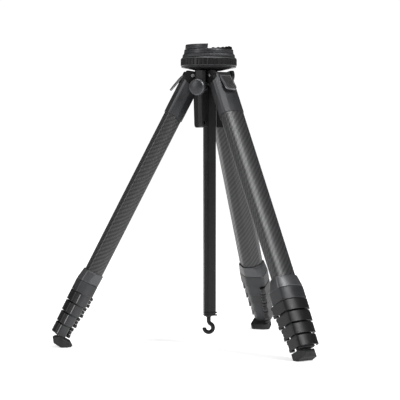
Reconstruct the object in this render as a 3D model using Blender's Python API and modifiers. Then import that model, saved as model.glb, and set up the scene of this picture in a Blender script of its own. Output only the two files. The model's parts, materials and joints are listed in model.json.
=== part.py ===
"""A compact five-section travel tripod with a low-profile ball head.

It stands with its legs spread at the first stop and every section pushed in.
Sizes are in millimetres; MM turns them into the metres of the scene.

Axes: +Z is up and the feet stand on Z = 0. One leg points along -X, the others
along +60 and -60 degrees. In a leg's own frame, Z runs up the leg from its
pivot, X points away from the centre column and Y runs along the pivot pin.
"""

import math

import bmesh
import bpy
from mathutils import Matrix, Vector

MM = 0.001

# Clearances
FIT = 0.3  # between faces that touch or slide
LOOSE = 1.4  # between a lever and the collar that it clamps

# Legs
LEG_AZIMUTHS = {"a": 180.0, "b": -60.0, "c": 60.0}
SPLAY = 27.1  # degrees from the vertical at the first stop
PIVOT_RADIUS = 20.5
TUBE_INSET = 2.2  # the tube's centre line runs this far inside the pivot

# Section of the widest leg tube, in its own frame: X outward, Y along the pin
TUBE_HALF_WIDTH = 14.2
TUBE_OUTER = 10.8
TUBE_INNER = 10.8
TUBE_SIDE_END = 2.2  # the flat side runs in to this far behind the centre
TUBE_FACE_HALF = 5.0  # half width of the narrow inner face
TUBE_CROWN = 30.0  # radius of the outer face
TUBE_CORNER = 2.0
TUBE_WALL = 1.1
TUBE_STEP = 1.75  # each tube is this much smaller all round than the last
TUBES = 5

# Stations down the leg, measured from the pivot
SOCKET_TOP = 22.0
CASTING_END = 51.0
FIRST_LEVER = 284.2  # this sets the length of the leg
LEVER_PITCH = 13.8
COLLAR_LENGTH = 28.2  # from the collar's top to the first lever
COLLAR_FLARE = 13.5
SECTION_TRAVEL = FIRST_LEVER - 29.2
SECTION_OVERLAP = 20.0

# Lever bands
LEVER_GROWTH = 3.7  # how far the first lever stands out from the widest tube
LEVER_GROWTH_STEP = 1.15
LEVER_SHIFT_STEP = 0.7  # the lower levers keep to the outer side of the leg
LEVER_THICKNESS = 2.7
LEVER_TIP = 2.7
LEVER_TIP_STEP = 0.4
KNUCKLE_RADIUS = 3.3
KNUCKLE_INNER = 12.0
KNUCKLE_INNER_STEP = 1.5
HINGE_BULGE = 3.7

# Leg casting
CASTING_GROWTH = 1.0
BARREL_RADIUS = 4.6
BARREL_HALF = 11.0
SHOULDER_RADIUS = 9.6  # the casting is wider than the barrel outside this
PIN_RADIUS = 2.4

# Angle tab
TAB_WIDTH = 16.0
TAB_LENGTH = 22.8
TAB_THICKNESS = 2.2
TAB_TILT = 13.0
TAB_HINGE = (8.1, 4.5)  # X and distance down the leg, at the tab's top edge

# Foot
FOOT_HALF_WIDTH = 11.0
FOOT_OUTER = 6.2
FOOT_INNER = 18.4
SOLE_EDGE = -7.1  # X of the sole's outer edge
SOLE_DEPTH = 10.8  # from the foot's top to that edge

# Hub
HUB_CORE_RADIUS = 13.0
HUB_RISE = 2.7  # from the pivots to the hub's top
HUB_CORE_HEIGHT = 14.7
HUB_CORE_TAPER = (5.4, 4.2)  # across and up, so that the legs can fold in under it
EAR_RADIUS = 9.2
EAR_THICKNESS = 4.2
LOBE_REACH = 28.5
LOBE_LOW = 2.3  # the lobes start this far above the core's lower end
LOBE_RISE = 3.1  # the lobes slope up to this much above the hub's middle
FIN_THICKNESS = 4.6
FIN_REACH = 25.5
FIN_DEPTH = 60.0  # from the pivots to the fins' lower edge
FIN_CORNER = 4.0
EYE_RADIUS = 2.2

# Centre column: a rounded triangle with its flats towards the legs
COLUMN_FLAT = 6.1
COLUMN_LOBE = 8.6
COLUMN_WALL = 1.2
COLUMN_BOTTOM = 39.0
COLUMN_HEAD_RADIUS = 10.5
COLUMN_HEAD_THICKNESS = 2.2
COLUMN_CAP_HEIGHT = 4.7

# Column knob, which clamps the column through one lobe of the hub
KNOB_AZIMUTH = -120.0
KNOB_DROP = 14.0  # from the pivots to the knob's axis
KNOB_RADIUS = 9.6
KNOB_SEAT = 29.0
KNOB_DEPTH = 6.0
KNOB_STEM = 2.3

# Hook under the column
HOOK_WIRE = 2.1
HOOK_LOOP = 5.2
HOOK_DROP = 19.0  # from the cap's top to the middle of the loop

# Ball head, with heights above the hub's top
BALL_RISE = 15.8
BALL_RADIUS = 9.5
NECK_RADIUS = 5.5
SKIRT_RISE = 3.6
SKIRT_INNER = 13.4
SKIRT_OUTER = 15.0
SKIRT_HEIGHT = 4.3
ADJUST_RADIUS = 32.9
ADJUST_HEIGHT = 10.4
LOCK_RADIUS = 30.75
LOCK_TOP_RADIUS = 28.2
LOCK_HEIGHT = 9.4
PLATFORM_LIP = 0.5  # the platform stands this far above the lock ring
JAW_RADIUS = 27.9
JAW_HEIGHT = 5.0
JAW_CHORD = 20.5
JAW_TRACK = 0.5  # the step in the platform that the moving jaw slides over
MOVING_JAW_AZIMUTH = 42.0

ROUND_STEPS = 40
BIG = 80.0  # longer than any cut across a piece

sin_splay = math.sin(math.radians(SPLAY))
cos_splay = math.cos(math.radians(SPLAY))
chamfer_run = TUBE_INNER - TUBE_SIDE_END
chamfer_rise = TUBE_HALF_WIDTH - TUBE_FACE_HALF
chamfer_angle = math.atan2(chamfer_rise, chamfer_run)

# Heights and stations that follow from the sizes above
collar_top = FIRST_LEVER - COLLAR_LENGTH
foot_top = FIRST_LEVER + LEVER_PITCH * (TUBES - 1) + 2 * FIT
pivot_height = (foot_top + SOLE_DEPTH) * cos_splay - SOLE_EDGE * sin_splay
hub_top = pivot_height + HUB_RISE
hub_core_bottom = pivot_height - HUB_CORE_HEIGHT + HUB_RISE
lobe_top = hub_top + LOBE_RISE
fin_bottom = pivot_height - FIN_DEPTH
knob_height = pivot_height - KNOB_DROP
ball_centre = hub_top + BALL_RISE
head_base = hub_top + SKIRT_RISE
skirt_top = head_base + SKIRT_HEIGHT
adjust_inner = ADJUST_RADIUS - 5.0
adjust_low = skirt_top + FIT
lock_inner = LOCK_RADIUS - 6.3
lock_low = adjust_low + ADJUST_HEIGHT + FIT
platform = lock_low + LOCK_HEIGHT + PLATFORM_LIP


# ---------------------------------------------------------------- scene setup


def clear_scene():
    for obj in list(bpy.data.objects):
        bpy.data.objects.remove(obj, do_unlink=True)
    for block in (bpy.data.meshes, bpy.data.curves, bpy.data.materials):
        for item in list(block):
            block.remove(item)


clear_scene()
tripod = bpy.data.collections.new("travel_tripod")
cutters = bpy.data.collections.new("cutters")
for collection in (tripod, cutters):
    bpy.context.scene.collection.children.link(collection)
cutters.hide_render = True


def finish(name, colour, roughness, metallic):
    """A Principled material for one kind of piece."""
    material = bpy.data.materials.new(name)
    material.use_nodes = True
    shader = material.node_tree.nodes["Principled BSDF"]
    shader.inputs["Base Color"].default_value = (*colour, 1.0)
    shader.inputs["Roughness"].default_value = roughness
    shader.inputs["Metallic"].default_value = metallic
    material.diffuse_color = (*colour, 1.0)
    return material


carbon = finish("carbon_fibre", (0.055, 0.055, 0.058), 0.38, 0.0)
grey_metal = finish("grey_anodised", (0.085, 0.087, 0.092), 0.42, 0.9)
black_metal = finish("black_anodised", (0.02, 0.02, 0.022), 0.45, 0.7)
steel = finish("bright_steel", (0.45, 0.45, 0.46), 0.3, 1.0)
rubber = finish("rubber", (0.045, 0.045, 0.047), 0.85, 0.0)


# ---------------------------------------------------------------- making solids


def mesh_object(name, mesh, material, parent=None, collection=tripod):
    obj = bpy.data.objects.new(name, mesh)
    collection.objects.link(obj)
    obj.parent = parent
    if material and not mesh.materials:
        mesh.materials.append(material)
    return obj


def outline_mesh(name, loops, low, high):
    """A flat outline, with any holes, drawn out along Z from low to high."""
    curve = bpy.data.curves.new(name, "CURVE")
    curve.dimensions = "2D"
    curve.fill_mode = "BOTH"
    curve.extrude = (high - low) / 2 * MM
    for loop in loops:
        spline = curve.splines.new("POLY")
        spline.points.add(len(loop) - 1)
        for point, (x, y) in zip(spline.points, loop):
            point.co = (x * MM, y * MM, 0.0, 1.0)
        spline.use_cyclic_u = True
    shape = bpy.data.objects.new(name, curve)
    cutters.objects.link(shape)
    mesh = welded_mesh(shape, name)
    mesh.transform(Matrix.Translation((0, 0, (low + high) / 2 * MM)))
    bpy.data.objects.remove(shape)
    bpy.data.curves.remove(curve)
    return mesh


def welded_mesh(obj, name):
    """The evaluated shape of an object as one welded mesh."""
    bpy.context.view_layer.update()
    graph = bpy.context.evaluated_depsgraph_get()
    mesh = bpy.data.meshes.new_from_object(obj.evaluated_get(graph))
    mesh.name = name
    shape = bmesh.new()
    shape.from_mesh(mesh)
    bmesh.ops.remove_doubles(shape, verts=shape.verts, dist=1e-6)
    bmesh.ops.recalc_face_normals(shape, faces=shape.faces)
    shape.to_mesh(mesh)
    shape.free()
    return mesh


def side_mesh(name, profile, half_width):
    """A side view, as points of X and distance down the leg, given a width along Y."""
    mesh = outline_mesh(name, [profile], -half_width, half_width)
    # The drawn plane's Y axis turns down the leg, and its depth becomes the leg's Y.
    mesh.transform(Matrix(((1, 0, 0, 0), (0, 0, 1, 0), (0, -1, 0, 0), (0, 0, 0, 1))))
    return mesh


def turned_mesh(name, profile, steps=ROUND_STEPS):
    """A closed outline of (radius, height) points, turned round Z."""
    mesh = bpy.data.meshes.new(name)
    count = len(profile)
    edges = [(i, (i + 1) % count) for i in range(count)]
    if profile[0][0] == 0:
        edges.pop()
    mesh.from_pydata([(r * MM, 0, z * MM) for r, z in profile], edges, [])
    obj = mesh_object(name, mesh, None, collection=cutters)
    screw = obj.modifiers.new("Screw", "SCREW")
    screw.steps = screw.render_steps = steps
    screw.use_merge_vertices = True
    screw.merge_threshold = 1e-5
    turned = welded_mesh(obj, name)
    bpy.data.objects.remove(obj)
    return turned


def rod_mesh(name, radius, low, high, steps=20):
    """A plain cylinder along Z."""
    mesh = bpy.data.meshes.new(name)
    shape = bmesh.new()
    bmesh.ops.create_cone(
        shape,
        cap_ends=True,
        segments=steps,
        radius1=radius * MM,
        radius2=radius * MM,
        depth=(high - low) * MM,
        matrix=move(z=(low + high) / 2),
    )
    shape.to_mesh(mesh)
    shape.free()
    return mesh


def loft_mesh(name, rings):
    """Rings of equal point count, joined in order and back to the first."""
    mesh = bpy.data.meshes.new(name)
    shape = bmesh.new()
    rows = [
        [shape.verts.new((x * MM, y * MM, z * MM)) for x, y in loop] for z, loop in rings
    ]
    for row, after in zip(rows, rows[1:] + rows[:1]):
        for i in range(len(row)):
            j = (i + 1) % len(row)
            shape.faces.new((row[i], row[j], after[j], after[i]))
    bmesh.ops.recalc_face_normals(shape, faces=shape.faces)
    shape.to_mesh(mesh)
    shape.free()
    return mesh


def placed(mesh, *transforms):
    """The mesh after each transform in turn."""
    for transform in transforms:
        mesh.transform(transform)
    return mesh


def combined(name, base, steps):
    """The base mesh after a row of Booleans, each an operation and a mesh."""
    obj = mesh_object(name, base, None, collection=cutters)
    helpers = []
    for operation, mesh in steps:
        helper = mesh_object(f"{name}_{operation.lower()}", mesh, None, collection=cutters)
        modifier = obj.modifiers.new(operation.title(), "BOOLEAN")
        modifier.operation = operation
        modifier.solver = "EXACT"
        modifier.object = helper
        helpers.append(helper)
    mesh = welded_mesh(obj, name)
    for helper in [*helpers, obj]:
        bpy.data.objects.remove(helper)
    return mesh


def shaded(mesh, angle=35.0):
    mesh.shade_smooth()
    mesh.set_sharp_from_angle(angle=math.radians(angle))
    return mesh


def turn(degrees, axis="Z"):
    return Matrix.Rotation(math.radians(degrees), 4, axis)


def move(x=0.0, y=0.0, z=0.0):
    return Matrix.Translation((x * MM, y * MM, z * MM))


# ---------------------------------------------------------------- leg section


def cut_corner(before, corner, after, cut):
    """Two points that take off a corner, each at most cut along its edge."""
    points = []
    for end in (before, after):
        edge = Vector(end) - Vector(corner)
        points.append(tuple(Vector(corner) + edge * min(cut / edge.length, 0.42)))
    return points


def leg_outline(grow, back=None, hinge=None, shift=0.0):
    """The tube's section, grown by grow on its crown and sides.

    back is the growth of the inner face and the chamfers, and hinge that of the
    chamfer on the -Y side, where the lever is hinged. shift moves it outward.
    """
    back = grow if back is None else back
    hinge = back if hinge is None else hinge
    half = TUBE_HALF_WIDTH + grow
    crown = TUBE_CROWN + grow
    centre = TUBE_OUTER - TUBE_CROWN
    inner = -(TUBE_INNER + back)

    def chamfer(growth):
        """Where the chamfer meets the side and the inner face."""
        reach = (
            math.sin(chamfer_angle) * TUBE_SIDE_END
            + math.cos(chamfer_angle) * TUBE_HALF_WIDTH
            + growth
        )
        side_x = (math.cos(chamfer_angle) * half - reach) / math.sin(chamfer_angle)
        face_y = (reach + math.sin(chamfer_angle) * inner) / math.cos(chamfer_angle)
        return side_x, face_y

    def crown_x(y):
        return centre + math.sqrt(crown**2 - y**2)

    side_plus, face_plus = chamfer(back)
    side_minus, face_minus = chamfer(hinge)
    corner_minus = (crown_x(half), -half)
    corner_plus = (crown_x(half), half)
    arc = [(crown_x(half * t), half * t) for t in (-0.5, 0.0, 0.5)]
    rest = [
        (side_plus, half),
        (inner, face_plus),
        (inner, -face_minus),
        (side_minus, -half),
    ]
    cut = TUBE_CORNER
    points = cut_corner(rest[-1], corner_minus, arc[0], cut) + arc
    points += cut_corner(arc[-1], corner_plus, rest[0], cut)
    ring = [corner_plus, *rest, corner_minus]
    for before, corner, after in zip(ring, ring[1:], ring[2:]):
        points += cut_corner(before, corner, after, cut)
    return [(x + shift - TUBE_INSET, y) for x, y in points]


def tube_growth(index):
    """Growth of tube number index, the widest being number 1."""
    return -TUBE_STEP * (index - 1)


def lever_top(index):
    """Where lever number index starts; one past the last gives the stack's end."""
    return FIRST_LEVER + LEVER_PITCH * (index - 1)


def tube_top(index):
    if index == 1:
        return SOCKET_TOP + FIT
    return lever_top(index) - SECTION_TRAVEL - SECTION_OVERLAP


def tube_end(index):
    if index == 1:
        return FIRST_LEVER - FIT
    if index == TUBES:
        return foot_top + 3.5
    return lever_top(index) - FIT


# ---------------------------------------------------------------- leg pieces


def tube_mesh(index):
    growth = tube_growth(index)
    loops = [leg_outline(growth), leg_outline(growth - TUBE_WALL)]
    return outline_mesh(f"tube_{index}", loops, -tube_end(index), -tube_top(index))


def clamp_outline(index):
    """The outside of the collar where its lever closes on it."""
    growth = LEVER_GROWTH - LEVER_GROWTH_STEP * (index - 1) - LEVER_THICKNESS - LOOSE
    hinge = growth + HINGE_BULGE + growth_slack(index)
    return leg_outline(growth, back=growth, hinge=hinge, shift=lever_shift(index))


def growth_slack(index):
    """The lower collars have room for less of a bulge at their hinge."""
    return 0.4 - 0.5 * (index - 1)


def lever_shift(index):
    return LEVER_SHIFT_STEP * (index - 1)


def collar_mesh(index):
    """A collar is bonded to the end of tube number index and clamps the next one."""
    bore = leg_outline(tube_growth(index + 1) + FIT)
    top = lever_top(index) + (0.0 if index == 1 else FIT)
    end = lever_top(index + 1) - FIT
    clamp = clamp_outline(index)
    if index > 1:
        return outline_mesh(f"collar_{index}", [clamp, bore], -end, -top)
    socket = leg_outline(FIT)
    lip = leg_outline(FIT + TUBE_WALL)
    band = leg_outline(LEVER_GROWTH, back=1.0, hinge=2 * HINGE_BULGE)
    rings = [
        (-collar_top, lip),
        (-collar_top - COLLAR_FLARE, band),
        (-top, band),
        (-top, clamp),
        (-end, clamp),
        (-end, bore),
        (-tube_end(1) - FIT, bore),
        (-tube_end(1) - FIT, socket),
        (-collar_top, socket),
    ]
    return loft_mesh("collar_1", rings)


def hinge_point(index):
    """The axis of a lever's hinge, in the section's frame."""
    growth = LEVER_GROWTH - LEVER_GROWTH_STEP * (index - 1)
    x = -KNUCKLE_INNER + KNUCKLE_INNER_STEP * (index - 1) - TUBE_INSET
    return x, -(TUBE_HALF_WIDTH + growth - KNUCKLE_RADIUS)


def lever_mesh(index):
    """A band round the outer side, from its knuckle to a free end on the +Y side."""
    growth = LEVER_GROWTH - LEVER_GROWTH_STEP * (index - 1)
    shift = lever_shift(index)
    outside = leg_outline(growth, shift=shift)[:7]
    inside = leg_outline(growth - LEVER_THICKNESS, shift=shift)[:7]
    tip = LEVER_TIP + LEVER_TIP_STEP * (index - 1) ** 2 - TUBE_INSET
    hinge_x, hinge_y = hinge_point(index)
    outer_half = TUBE_HALF_WIDTH + growth
    inner_half = outer_half - LEVER_THICKNESS
    start = math.asin((-inner_half - hinge_y) / KNUCKLE_RADIUS)
    sweep = 1.5 * math.pi - start
    knuckle = [
        (
            hinge_x + KNUCKLE_RADIUS * math.cos(start + sweep * i / 9),
            hinge_y + KNUCKLE_RADIUS * math.sin(start + sweep * i / 9),
        )
        for i in range(10)
    ]
    loop = knuckle + outside + [(tip, outer_half), (tip, inner_half)] + inside[::-1]
    top = lever_top(index) + FIT
    end = lever_top(index + 1) - FIT
    return outline_mesh(f"lever_{index}", [loop], -end, -top)


def casting_mesh():
    """The yoke: a side view and the tube's section cut out of each other."""
    outer = TUBE_OUTER + CASTING_GROWTH - TUBE_INSET
    inner = -(TUBE_INNER + CASTING_GROWTH + TUBE_INSET)
    barrel = [
        (BARREL_RADIUS * math.cos(a), -BARREL_RADIUS * math.sin(a))
        for a in (math.radians(180 - 90 * i / 5) for i in range(6))
    ]
    side = barrel + [
        (7.6, -0.6),
        (outer - 0.4, 8.0),
        (outer + 1.0, 15.0),
        (outer + 1.0, CASTING_END),
        (-TUBE_SIDE_END - TUBE_INSET, CASTING_END),
        (-TUBE_SIDE_END - TUBE_INSET - 2.0, CASTING_END + 2.5),
        (inner - 1.0, CASTING_END + 2.5),
        (inner - 1.0, 14.0),
        (-BARREL_RADIUS - 3.4, 9.0),
        (-BARREL_RADIUS, 4.5),
    ]
    wide = TUBE_HALF_WIDTH + CASTING_GROWTH + 1.0
    section = outline_mesh("section", [leg_outline(CASTING_GROWTH)], -BIG, BIG / 4)
    socket = outline_mesh("socket", [leg_outline(FIT)], -BIG, -SOCKET_TOP)
    steps = [("INTERSECT", section), ("DIFFERENCE", socket)]
    for low, high in ((BARREL_HALF, wide + 2), (-wide - 2, -BARREL_HALF)):
        relief = rod_mesh("relief", SHOULDER_RADIUS, low, high, 24)
        steps.append(("DIFFERENCE", placed(relief, turn(90, "X"), turn(180, "Z"))))
    bore = rod_mesh("bore", PIN_RADIUS + FIT, -BIG, BIG)
    steps.append(("DIFFERENCE", placed(bore, turn(90, "X"))))
    steps.append(("DIFFERENCE", tab_pocket_mesh()))
    return combined("casting", side_mesh("side", side, wide), steps)


def tab_frame():
    """The tab's own frame: Z up the tab from its hinge and X out of the leg."""
    x, down = TAB_HINGE
    return move(x, 0, -down) @ turn(-TAB_TILT, "Y")


def tab_outline(grow):
    """A shield in (along, across) points: square at the top, round at the bottom."""
    half = TAB_WIDTH / 2 + grow
    end = TAB_LENGTH + grow
    points = [(grow, -half), (grow, half)]
    radius = half * 0.72
    for i in range(6):
        a = math.radians(90 - 18 * i)
        across = half - radius + radius * math.sin(a)
        points.append((-(end - radius) - radius * math.cos(a), across))
    for i in range(6):
        a = math.radians(18 * i)
        across = -(half - radius + radius * math.sin(a))
        points.append((-(end - radius) - radius * math.cos(a), across))
    return points


def tab_mesh():
    """A plate as thick as the tab, lying along its own frame's Z."""
    mesh = outline_mesh("angle_tab", [tab_outline(0.0)], 0.0, TAB_THICKNESS)
    return placed(mesh, tab_turn())


def tab_turn():
    """Takes the drawn plane, along and across, to the tab's Z and Y."""
    return Matrix(((0, 0, 1, 0), (0, -1, 0, 0), (1, 0, 0, 0), (0, 0, 0, 1)))


def tab_pocket_mesh():
    """Room in the casting behind the tab."""
    mesh = outline_mesh("tab_pocket", [tab_outline(2 * FIT)], -FIT, BIG)
    return placed(mesh, tab_turn(), tab_frame())


def foot_mesh():
    """A rubber foot whose sole is flat on the floor at the first stop."""

    def floor(x):
        return (pivot_height + x * sin_splay) / cos_splay

    side = [
        (-FOOT_INNER + 4.5, foot_top),
        (0.5, foot_top),
        (FOOT_OUTER - 0.8, foot_top + 3.2),
        (FOOT_OUTER, foot_top + 5.0),
        (FOOT_OUTER - 3.4, foot_top + 9.6),
        (-7.1, floor(-7.1)),
        (-FOOT_INNER + 0.8, floor(-FOOT_INNER + 0.8)),
        (-FOOT_INNER, foot_top + 3.0),
    ]
    corners = [
        (FOOT_OUTER + 1, -FOOT_HALF_WIDTH),
        (FOOT_OUTER + 1, FOOT_HALF_WIDTH),
        (-FOOT_INNER - 1, FOOT_HALF_WIDTH),
        (-FOOT_INNER - 1, -FOOT_HALF_WIDTH),
    ]
    plan = []
    for i, corner in enumerate(corners):
        plan += cut_corner(corners[i - 1], corner, corners[(i + 1) % 4], 6.0)
    block = outline_mesh("plan", [plan], -BIG * 5, 0)
    socket = leg_outline(tube_growth(TUBES) + FIT)
    hole = outline_mesh("hole", [socket], -(tube_end(TUBES) + FIT), 0)
    steps = [("INTERSECT", block), ("DIFFERENCE", hole)]
    return combined("foot", side_mesh("side", side, FOOT_HALF_WIDTH + 1), steps)


def pin_mesh():
    half = BARREL_HALF + FIT + EAR_THICKNESS
    return placed(rod_mesh("pivot_pin", PIN_RADIUS, -half, half, 20), turn(90, "X"))


# ---------------------------------------------------------------- hub and column


def column_outline(grow, steps=5):
    """The rounded triangle, with a lobe between each pair of legs."""
    reach = 2 * (COLUMN_LOBE - COLUMN_FLAT)
    radius = COLUMN_LOBE - reach + grow
    points = []
    for middle in (0, 120, 240):
        centre = Vector((reach, 0)) @ Matrix.Rotation(-math.radians(middle), 2)
        for i in range(steps):
            a = math.radians(middle - 60 + 120 * i / (steps - 1))
            points.append((centre.x + radius * math.cos(a), centre.y + radius * math.sin(a)))
    return points


def lobe_mesh(azimuth):
    """The solid between two legs' slots, ears and all, for one lobe of the hub."""
    reach = LOBE_REACH
    plan = [(4.0, -4.6), (16.0, -4.6), (reach - 3.0, -6.6), (reach, -4.0)]
    plan += [(x, -y) for x, y in reversed(plan)]
    rib = outline_mesh("rib", [plan], hub_core_bottom + LOBE_LOW, hub_top + 6)
    return placed(rib, turn(azimuth))


def ear_mesh(azimuth, side):
    """A disc round the pivot pin, just outside the casting's barrel."""
    low = BARREL_HALF + FIT
    disc = rod_mesh("ear", EAR_RADIUS, low, low + EAR_THICKNESS, 24)
    facing = turn(-90 if side > 0 else 90, "X")
    return placed(disc, facing, move(PIVOT_RADIUS, 0, pivot_height), turn(azimuth))


def fin_mesh(azimuth):
    """A plate between two folded legs, round at its lower outer corner."""
    corner = [
        (
            FIN_REACH - FIN_CORNER * (1 - math.sin(math.radians(18 * i))),
            fin_bottom + FIN_CORNER * (1 - math.cos(math.radians(18 * i))),
        )
        for i in range(6)
    ]
    start = COLUMN_LOBE + FIT
    profile = [(start, fin_bottom)] + corner
    profile += [(LOBE_REACH - 0.5, hub_top - 4), (start, hub_top - 4)]
    fin = outline_mesh("fin", [profile], -FIN_THICKNESS / 2, FIN_THICKNESS / 2)
    return placed(fin, turn(90, "X"), turn(azimuth))


def hub_mesh():
    across, up = HUB_CORE_TAPER
    core = [(0, hub_top + 1), (HUB_CORE_RADIUS, hub_top + 1)]
    core += [(HUB_CORE_RADIUS, hub_core_bottom + up)]
    core += [(HUB_CORE_RADIUS - across, hub_core_bottom), (0, hub_core_bottom)]
    steps = []
    for azimuth in (-120, 0, 120):
        steps.append(("UNION", lobe_mesh(azimuth)))
        steps.append(("UNION", fin_mesh(azimuth)))
    for azimuth in LEG_AZIMUTHS.values():
        for side in (1, -1):
            steps.append(("UNION", ear_mesh(azimuth, side)))
    along_knob = (turn(90, "Y"), move(z=knob_height), turn(KNOB_AZIMUTH))
    seat = KNOB_SEAT - 2 * FIT
    shape = [(0, seat), (6, seat), (6, 23), (4.2, 21), (4.2, HUB_CORE_RADIUS), (0, HUB_CORE_RADIUS)]
    boss = turned_mesh("boss", shape, 24)
    steps.append(("UNION", placed(boss, *along_knob)))
    bore = rod_mesh("bore", KNOB_STEM + FIT, 0, BIG, 20)
    steps.append(("DIFFERENCE", placed(bore, *along_knob)))
    roof = [(0, BIG * 5), (BIG, BIG * 5), (BIG, lobe_top), (LOBE_REACH + 1, lobe_top)]
    roof += [(HUB_CORE_RADIUS, hub_top), (0, hub_top)]
    steps.append(("DIFFERENCE", turned_mesh("roof", roof)))
    passage = outline_mesh("passage", [column_outline(FIT)], 0, BIG * 5)
    steps.append(("DIFFERENCE", passage))
    half = BARREL_HALF + 2 * FIT + EAR_THICKNESS
    for azimuth in LEG_AZIMUTHS.values():
        hole = placed(rod_mesh("hole", PIN_RADIUS + FIT, -half, half, 20), turn(90, "X"))
        place = (move(PIVOT_RADIUS, 0, pivot_height), turn(azimuth))
        steps.append(("DIFFERENCE", placed(hole, *place)))
    eye = placed(rod_mesh("eye", EYE_RADIUS, -BIG, BIG, 16), turn(90, "X"))
    place = (move(FIN_REACH - 7.0, 0, fin_bottom + 5.5), turn(KNOB_AZIMUTH))
    steps.append(("DIFFERENCE", placed(eye, *place)))
    return combined("hub", turned_mesh("core", core), steps)


def column_mesh():
    top = hub_top + FIT
    loops = [column_outline(0.0), column_outline(-COLUMN_WALL)]
    tube = outline_mesh("tube", loops, COLUMN_BOTTOM, top + 0.5)
    head = rod_mesh(
        "head", COLUMN_HEAD_RADIUS, top, top + COLUMN_HEAD_THICKNESS, ROUND_STEPS
    )
    return combined("column_tube", tube, [("UNION", head)])


def hook_mesh():
    """The column's bottom cap with two tabs, and the hook that hangs from it."""
    top = COLUMN_BOTTOM - FIT
    low = top - COLUMN_CAP_HEIGHT
    cap = outline_mesh("cap", [column_outline(0.0)], low, top)
    centre = top - HOOK_DROP
    path = [(0, low + 1.0), (0, centre + HOOK_LOOP + 3.0)]
    for i in range(13):
        a = math.radians(62 - 20.5 * i)
        path.append((HOOK_LOOP * math.cos(a), centre + HOOK_LOOP * math.sin(a)))
    curve = bpy.data.curves.new("hook_wire", "CURVE")
    curve.dimensions = "3D"
    curve.bevel_depth = HOOK_WIRE * MM
    curve.bevel_resolution = 2
    curve.use_fill_caps = True
    spline = curve.splines.new("POLY")
    spline.points.add(len(path) - 1)
    for point, (x, z) in zip(spline.points, path):
        point.co = (x * MM, 0, z * MM, 1)
    wire = bpy.data.objects.new("hook_wire", curve)
    cutters.objects.link(wire)
    mesh = welded_mesh(wire, "hook_wire")
    bpy.data.objects.remove(wire)
    bpy.data.curves.remove(curve)
    steps = [("UNION", mesh)]
    for height in (low, low + 3.2):
        plan = [(6.0, -2.2), (10.2, -1.6), (10.2, 1.6), (6.0, 2.2)]
        tab = outline_mesh("tab", [plan], height, height + 1.3)
        steps.append(("UNION", tab))
    return combined("hook", cap, steps)


def knob_mesh():
    face = KNOB_SEAT + KNOB_DEPTH
    dome = [
        (KNOB_RADIUS * math.sin(math.radians(a)), face + 3.4 * math.cos(math.radians(a)))
        for a in (0, 25, 45, 65)
    ]
    profile = dome + [
        (KNOB_RADIUS, face),
        (KNOB_RADIUS, KNOB_SEAT + 1.2),
        (KNOB_RADIUS - 1.2, KNOB_SEAT),
        (KNOB_STEM, KNOB_SEAT),
        (KNOB_STEM, COLUMN_LOBE + 2 * FIT),
        (0, COLUMN_LOBE + 2 * FIT),
    ]
    mesh = turned_mesh("column_knob", profile, 32)
    return placed(mesh, turn(90, "Y"), move(z=knob_height), turn(KNOB_AZIMUTH))


# ---------------------------------------------------------------- ball head


def ball_stem_mesh():
    base = hub_top + COLUMN_HEAD_THICKNESS + 2 * FIT
    low = math.asin(NECK_RADIUS / BALL_RADIUS)
    ball = [
        (BALL_RADIUS * math.sin(a), ball_centre + BALL_RADIUS * math.cos(a))
        for a in ((math.pi - low) * i / 9 for i in range(10))
    ]
    profile = ball + [
        (NECK_RADIUS, base + 3.2),
        (NECK_RADIUS + 1.5, base + 1.7),
        (COLUMN_HEAD_RADIUS, base + 1.7),
        (COLUMN_HEAD_RADIUS, base),
        (0, base),
    ]
    return turned_mesh("ball_stem", profile, 32)


def jaw_plan(steps=9):
    """A segment of a disc beyond a chord, pointing along +X."""
    half = math.acos(JAW_CHORD / JAW_RADIUS)
    return [
        (JAW_RADIUS * math.cos(half * t), JAW_RADIUS * math.sin(half * t))
        for t in (-1 + 2 * i / (steps - 1) for i in range(steps))
    ]


def head_body_mesh():
    socket = BALL_RADIUS + FIT
    adjust_seat = adjust_inner - FIT
    lock_seat = lock_inner - FIT
    dome = [
        (socket * math.sin(a), ball_centre + socket * math.cos(a))
        for a in (math.radians(15 * i) for i in range(7))
    ]
    profile = dome + [
        (socket, head_base + 4.5),
        (SKIRT_INNER, head_base),
        (SKIRT_OUTER, head_base),
        (ADJUST_RADIUS - 0.6, skirt_top - FIT),
        (ADJUST_RADIUS - 0.6, skirt_top),
        (adjust_seat, skirt_top),
        (adjust_seat, lock_low - FIT),
        (lock_seat, lock_low - FIT),
        (lock_seat, platform - 0.8),
        (lock_seat - 0.8, platform),
        (0, platform),
    ]
    body = turned_mesh("body", profile)
    jaw = outline_mesh("jaw", [jaw_plan()], platform - 0.2, platform + JAW_HEIGHT)
    start = JAW_CHORD - FIT
    track = [(start, -BIG), (BIG, -BIG), (BIG, BIG), (start, BIG)]
    track = outline_mesh("track", [track], platform - JAW_TRACK, platform + BIG)
    steps = [
        ("UNION", placed(jaw, turn(MOVING_JAW_AZIMUTH + 180))),
        ("DIFFERENCE", placed(track, turn(MOVING_JAW_AZIMUTH))),
    ]
    return combined("head_body", body, steps)


def adjust_ring_mesh():
    low = adjust_low
    high = low + ADJUST_HEIGHT
    profile = [
        (adjust_inner, high),
        (LOCK_RADIUS + 0.6, high),
        (ADJUST_RADIUS - 0.5, high - 1.2),
        (ADJUST_RADIUS, high - 2.0),
        (ADJUST_RADIUS, low + 1.4),
        (ADJUST_RADIUS - 1.0, low),
        (adjust_inner, low),
    ]
    return turned_mesh("adjust_ring", profile)


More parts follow.
